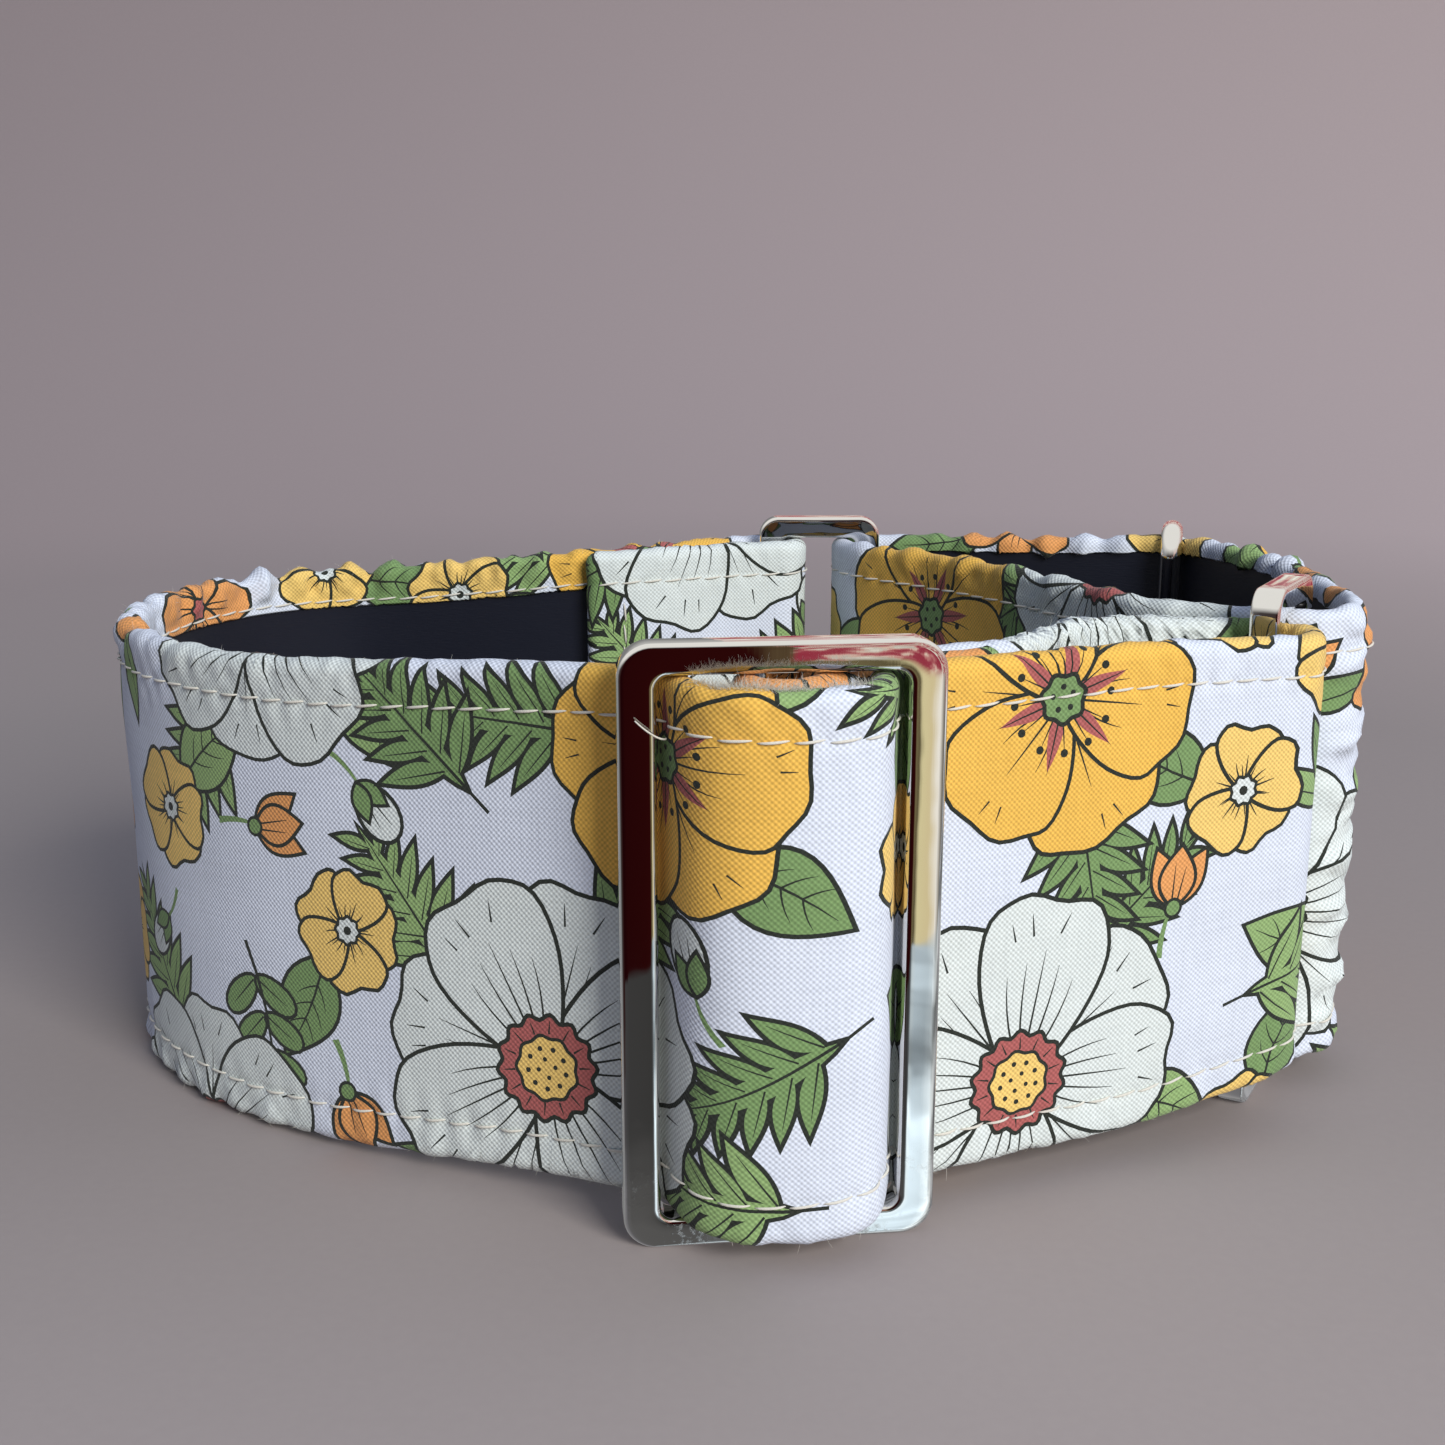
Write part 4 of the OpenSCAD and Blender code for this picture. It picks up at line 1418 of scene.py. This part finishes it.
# What the metal reflects, by degrees from straight ahead of the slider to its right
ROOM = [
    (-180, 0.2), (-75, (0.3, 0.31, 0.33)), (-45, (0.06, 0.05, 0.05)), (-12, (0.03, 0.008, 0.008)),
    (0, (0.013, 0.001, 0.002)), (15, (0.03, 0.003, 0.003)), (16, (0.25, 0.2, 0.1)),
    (17.6, (0.14, 0.12, 0.06)), (18.9, (0.1, 0.08, 0.04)), (19.2, (0.5, 0.46, 0.28)),
    (19.4, (0.1, 0.08, 0.03)), (19.7, (0.8, 0.72, 0.42)), (20.4, (0.95, 0.86, 0.55)),
    (20.6, (0.4, 0.3, 0.12)), (20.8, (0.95, 0.86, 0.55)), (21.3, (0.6, 0.48, 0.25)),
    (21.5, (1.0, 0.95, 0.7)), (22.5, (1.0, 0.97, 0.9)), (30, (0.3, 0.28, 0.25)), (55, 0.12),
    (70, 1.0), (95, 1.0), (110, 0.15), (180, 0.2)]
PALE_GROUND = [
    (-180, (0.2, 0.2, 0.21)), (-20, (0.1, 0.1, 0.11)), (13, 0.06), (17, (0.2, 0.23, 0.26)),
    (18.6, (0.78, 0.92, 1.0)), (19.4, (0.42, 0.54, 0.65)), (20, (0.85, 1.0, 1.1)),
    (21, (0.55, 0.67, 0.76)), (22, (0.85, 0.97, 1.05)), (30, (0.5, 0.54, 0.56)),
    (60, (0.3, 0.31, 0.33)), (180, (0.2, 0.2, 0.21))]
PATCHES = [
    (0, (0.3, 0.02, 0.04)), (0.44, (0.36, 0.05, 0.08)), (0.49, (0.55, 0.2, 0.2)),
    (0.55, (0.85, 0.66, 0.55)), (0.58, (0.5, 0.5, 0.45)), (0.65, (0.95, 0.9, 0.8))]


def reflected_room(graph, way):
    """A dark room with a cream window to the right, rose patches above and a pale ground."""
    wobble = graph.noise(way, 5.0, output="Color")
    wobble = graph.times(graph.vector("ADD", wobble, (-0.5, -0.5, -0.5)), (0.06, 0.06, 0.06))
    x, y, height = graph.axes(graph.vector("ADD", way, wobble))
    azimuth = graph.math("ARCTAN2", x, graph.multiply(y, -1.0))
    turn = graph.between(azimuth, 0, 1, -math.pi, math.pi)
    room, ground = (graph.ramp(turn, [((degrees + 180) / 360, colour) for degrees, colour in stops])
                    for stops in (ROOM, PALE_GROUND))

    def right_of(start, stop):
        return graph.between(azimuth, 0, 1, math.radians(start), math.radians(stop))

    rows = graph.node("CombineXYZ", (graph.multiply(height, 30.0), azimuth))
    streaked = graph.times(ground, graph.between(graph.noise(rows, 1.0), 0.4, 1.8, 0.35, 0.65))
    paler = graph.times(ground, graph.between(height, 1.7, 0.75, -0.51, -0.45))
    ground = graph.mixed(right_of(14, 18), paler, streaked)
    near_top = graph.multiply(graph.between(height, 0, 1, -0.205, -0.19), right_of(15.2, 15.6))
    room = graph.mixed(near_top, room, graph.ramp(graph.noise(way, 42.0), PATCHES))
    sloped = graph.math("SUBTRACT", height, graph.multiply(azimuth, 0.1))
    lower = graph.mixed(graph.between(sloped, 0, 1, -0.388, -0.382), ground, room)
    return graph.mixed(graph.between(height, 0, 1, 0.1, 0.5), lower, (0.9, 0.9, 0.88))


def soft_light(graph, way):
    """Bluish light, mostly from the right and above, with little from the camera's side."""
    right, ahead = (graph.vector("DOT_PRODUCT", way, side, "Value")
                    for side in (LIGHT_SIDE, CAMERA_SIDE))
    soft = graph.mixed(graph.between(right, 0, 1, -0.35, 1.0), (0.02, 0.02, 0.03), (0.35, 0.41, 0.57))
    return graph.times(soft, graph.between(ahead, 1.0, 0.12, 0.84, 0.96))


def studio_world():
    world = bpy.data.worlds.new("studio")
    bpy.context.scene.world = world
    world.use_nodes = True
    world.node_tree.nodes.clear()
    graph = Graph(world.node_tree)
    way = graph.node("TexCoord", output="Generated")
    glossy = graph.node("LightPath", output="Is Glossy Ray")
    colour = graph.mixed(glossy, soft_light(graph, way), reflected_room(graph, way))
    background = graph.node("Background", {"Color": colour, "Strength": 1.0})
    world_out = graph.tree.nodes.new("ShaderNodeOutputWorld")
    graph.tree.links.new(background, world_out.inputs["Surface"])


stage_floor(stage_material())
studio_world()
key_light()

camera = scene_object("camera", bpy.data.cameras.new("camera"))
camera.location = CAMERA_AT
camera.rotation_euler = (math.radians(CAMERA_TILT), 0, 0)
camera.data.lens = LENS_MM
camera.data.sensor_width = SENSOR_MM
bpy.context.scene.camera = camera
bpy.context.scene.view_settings.view_transform = "Standard"
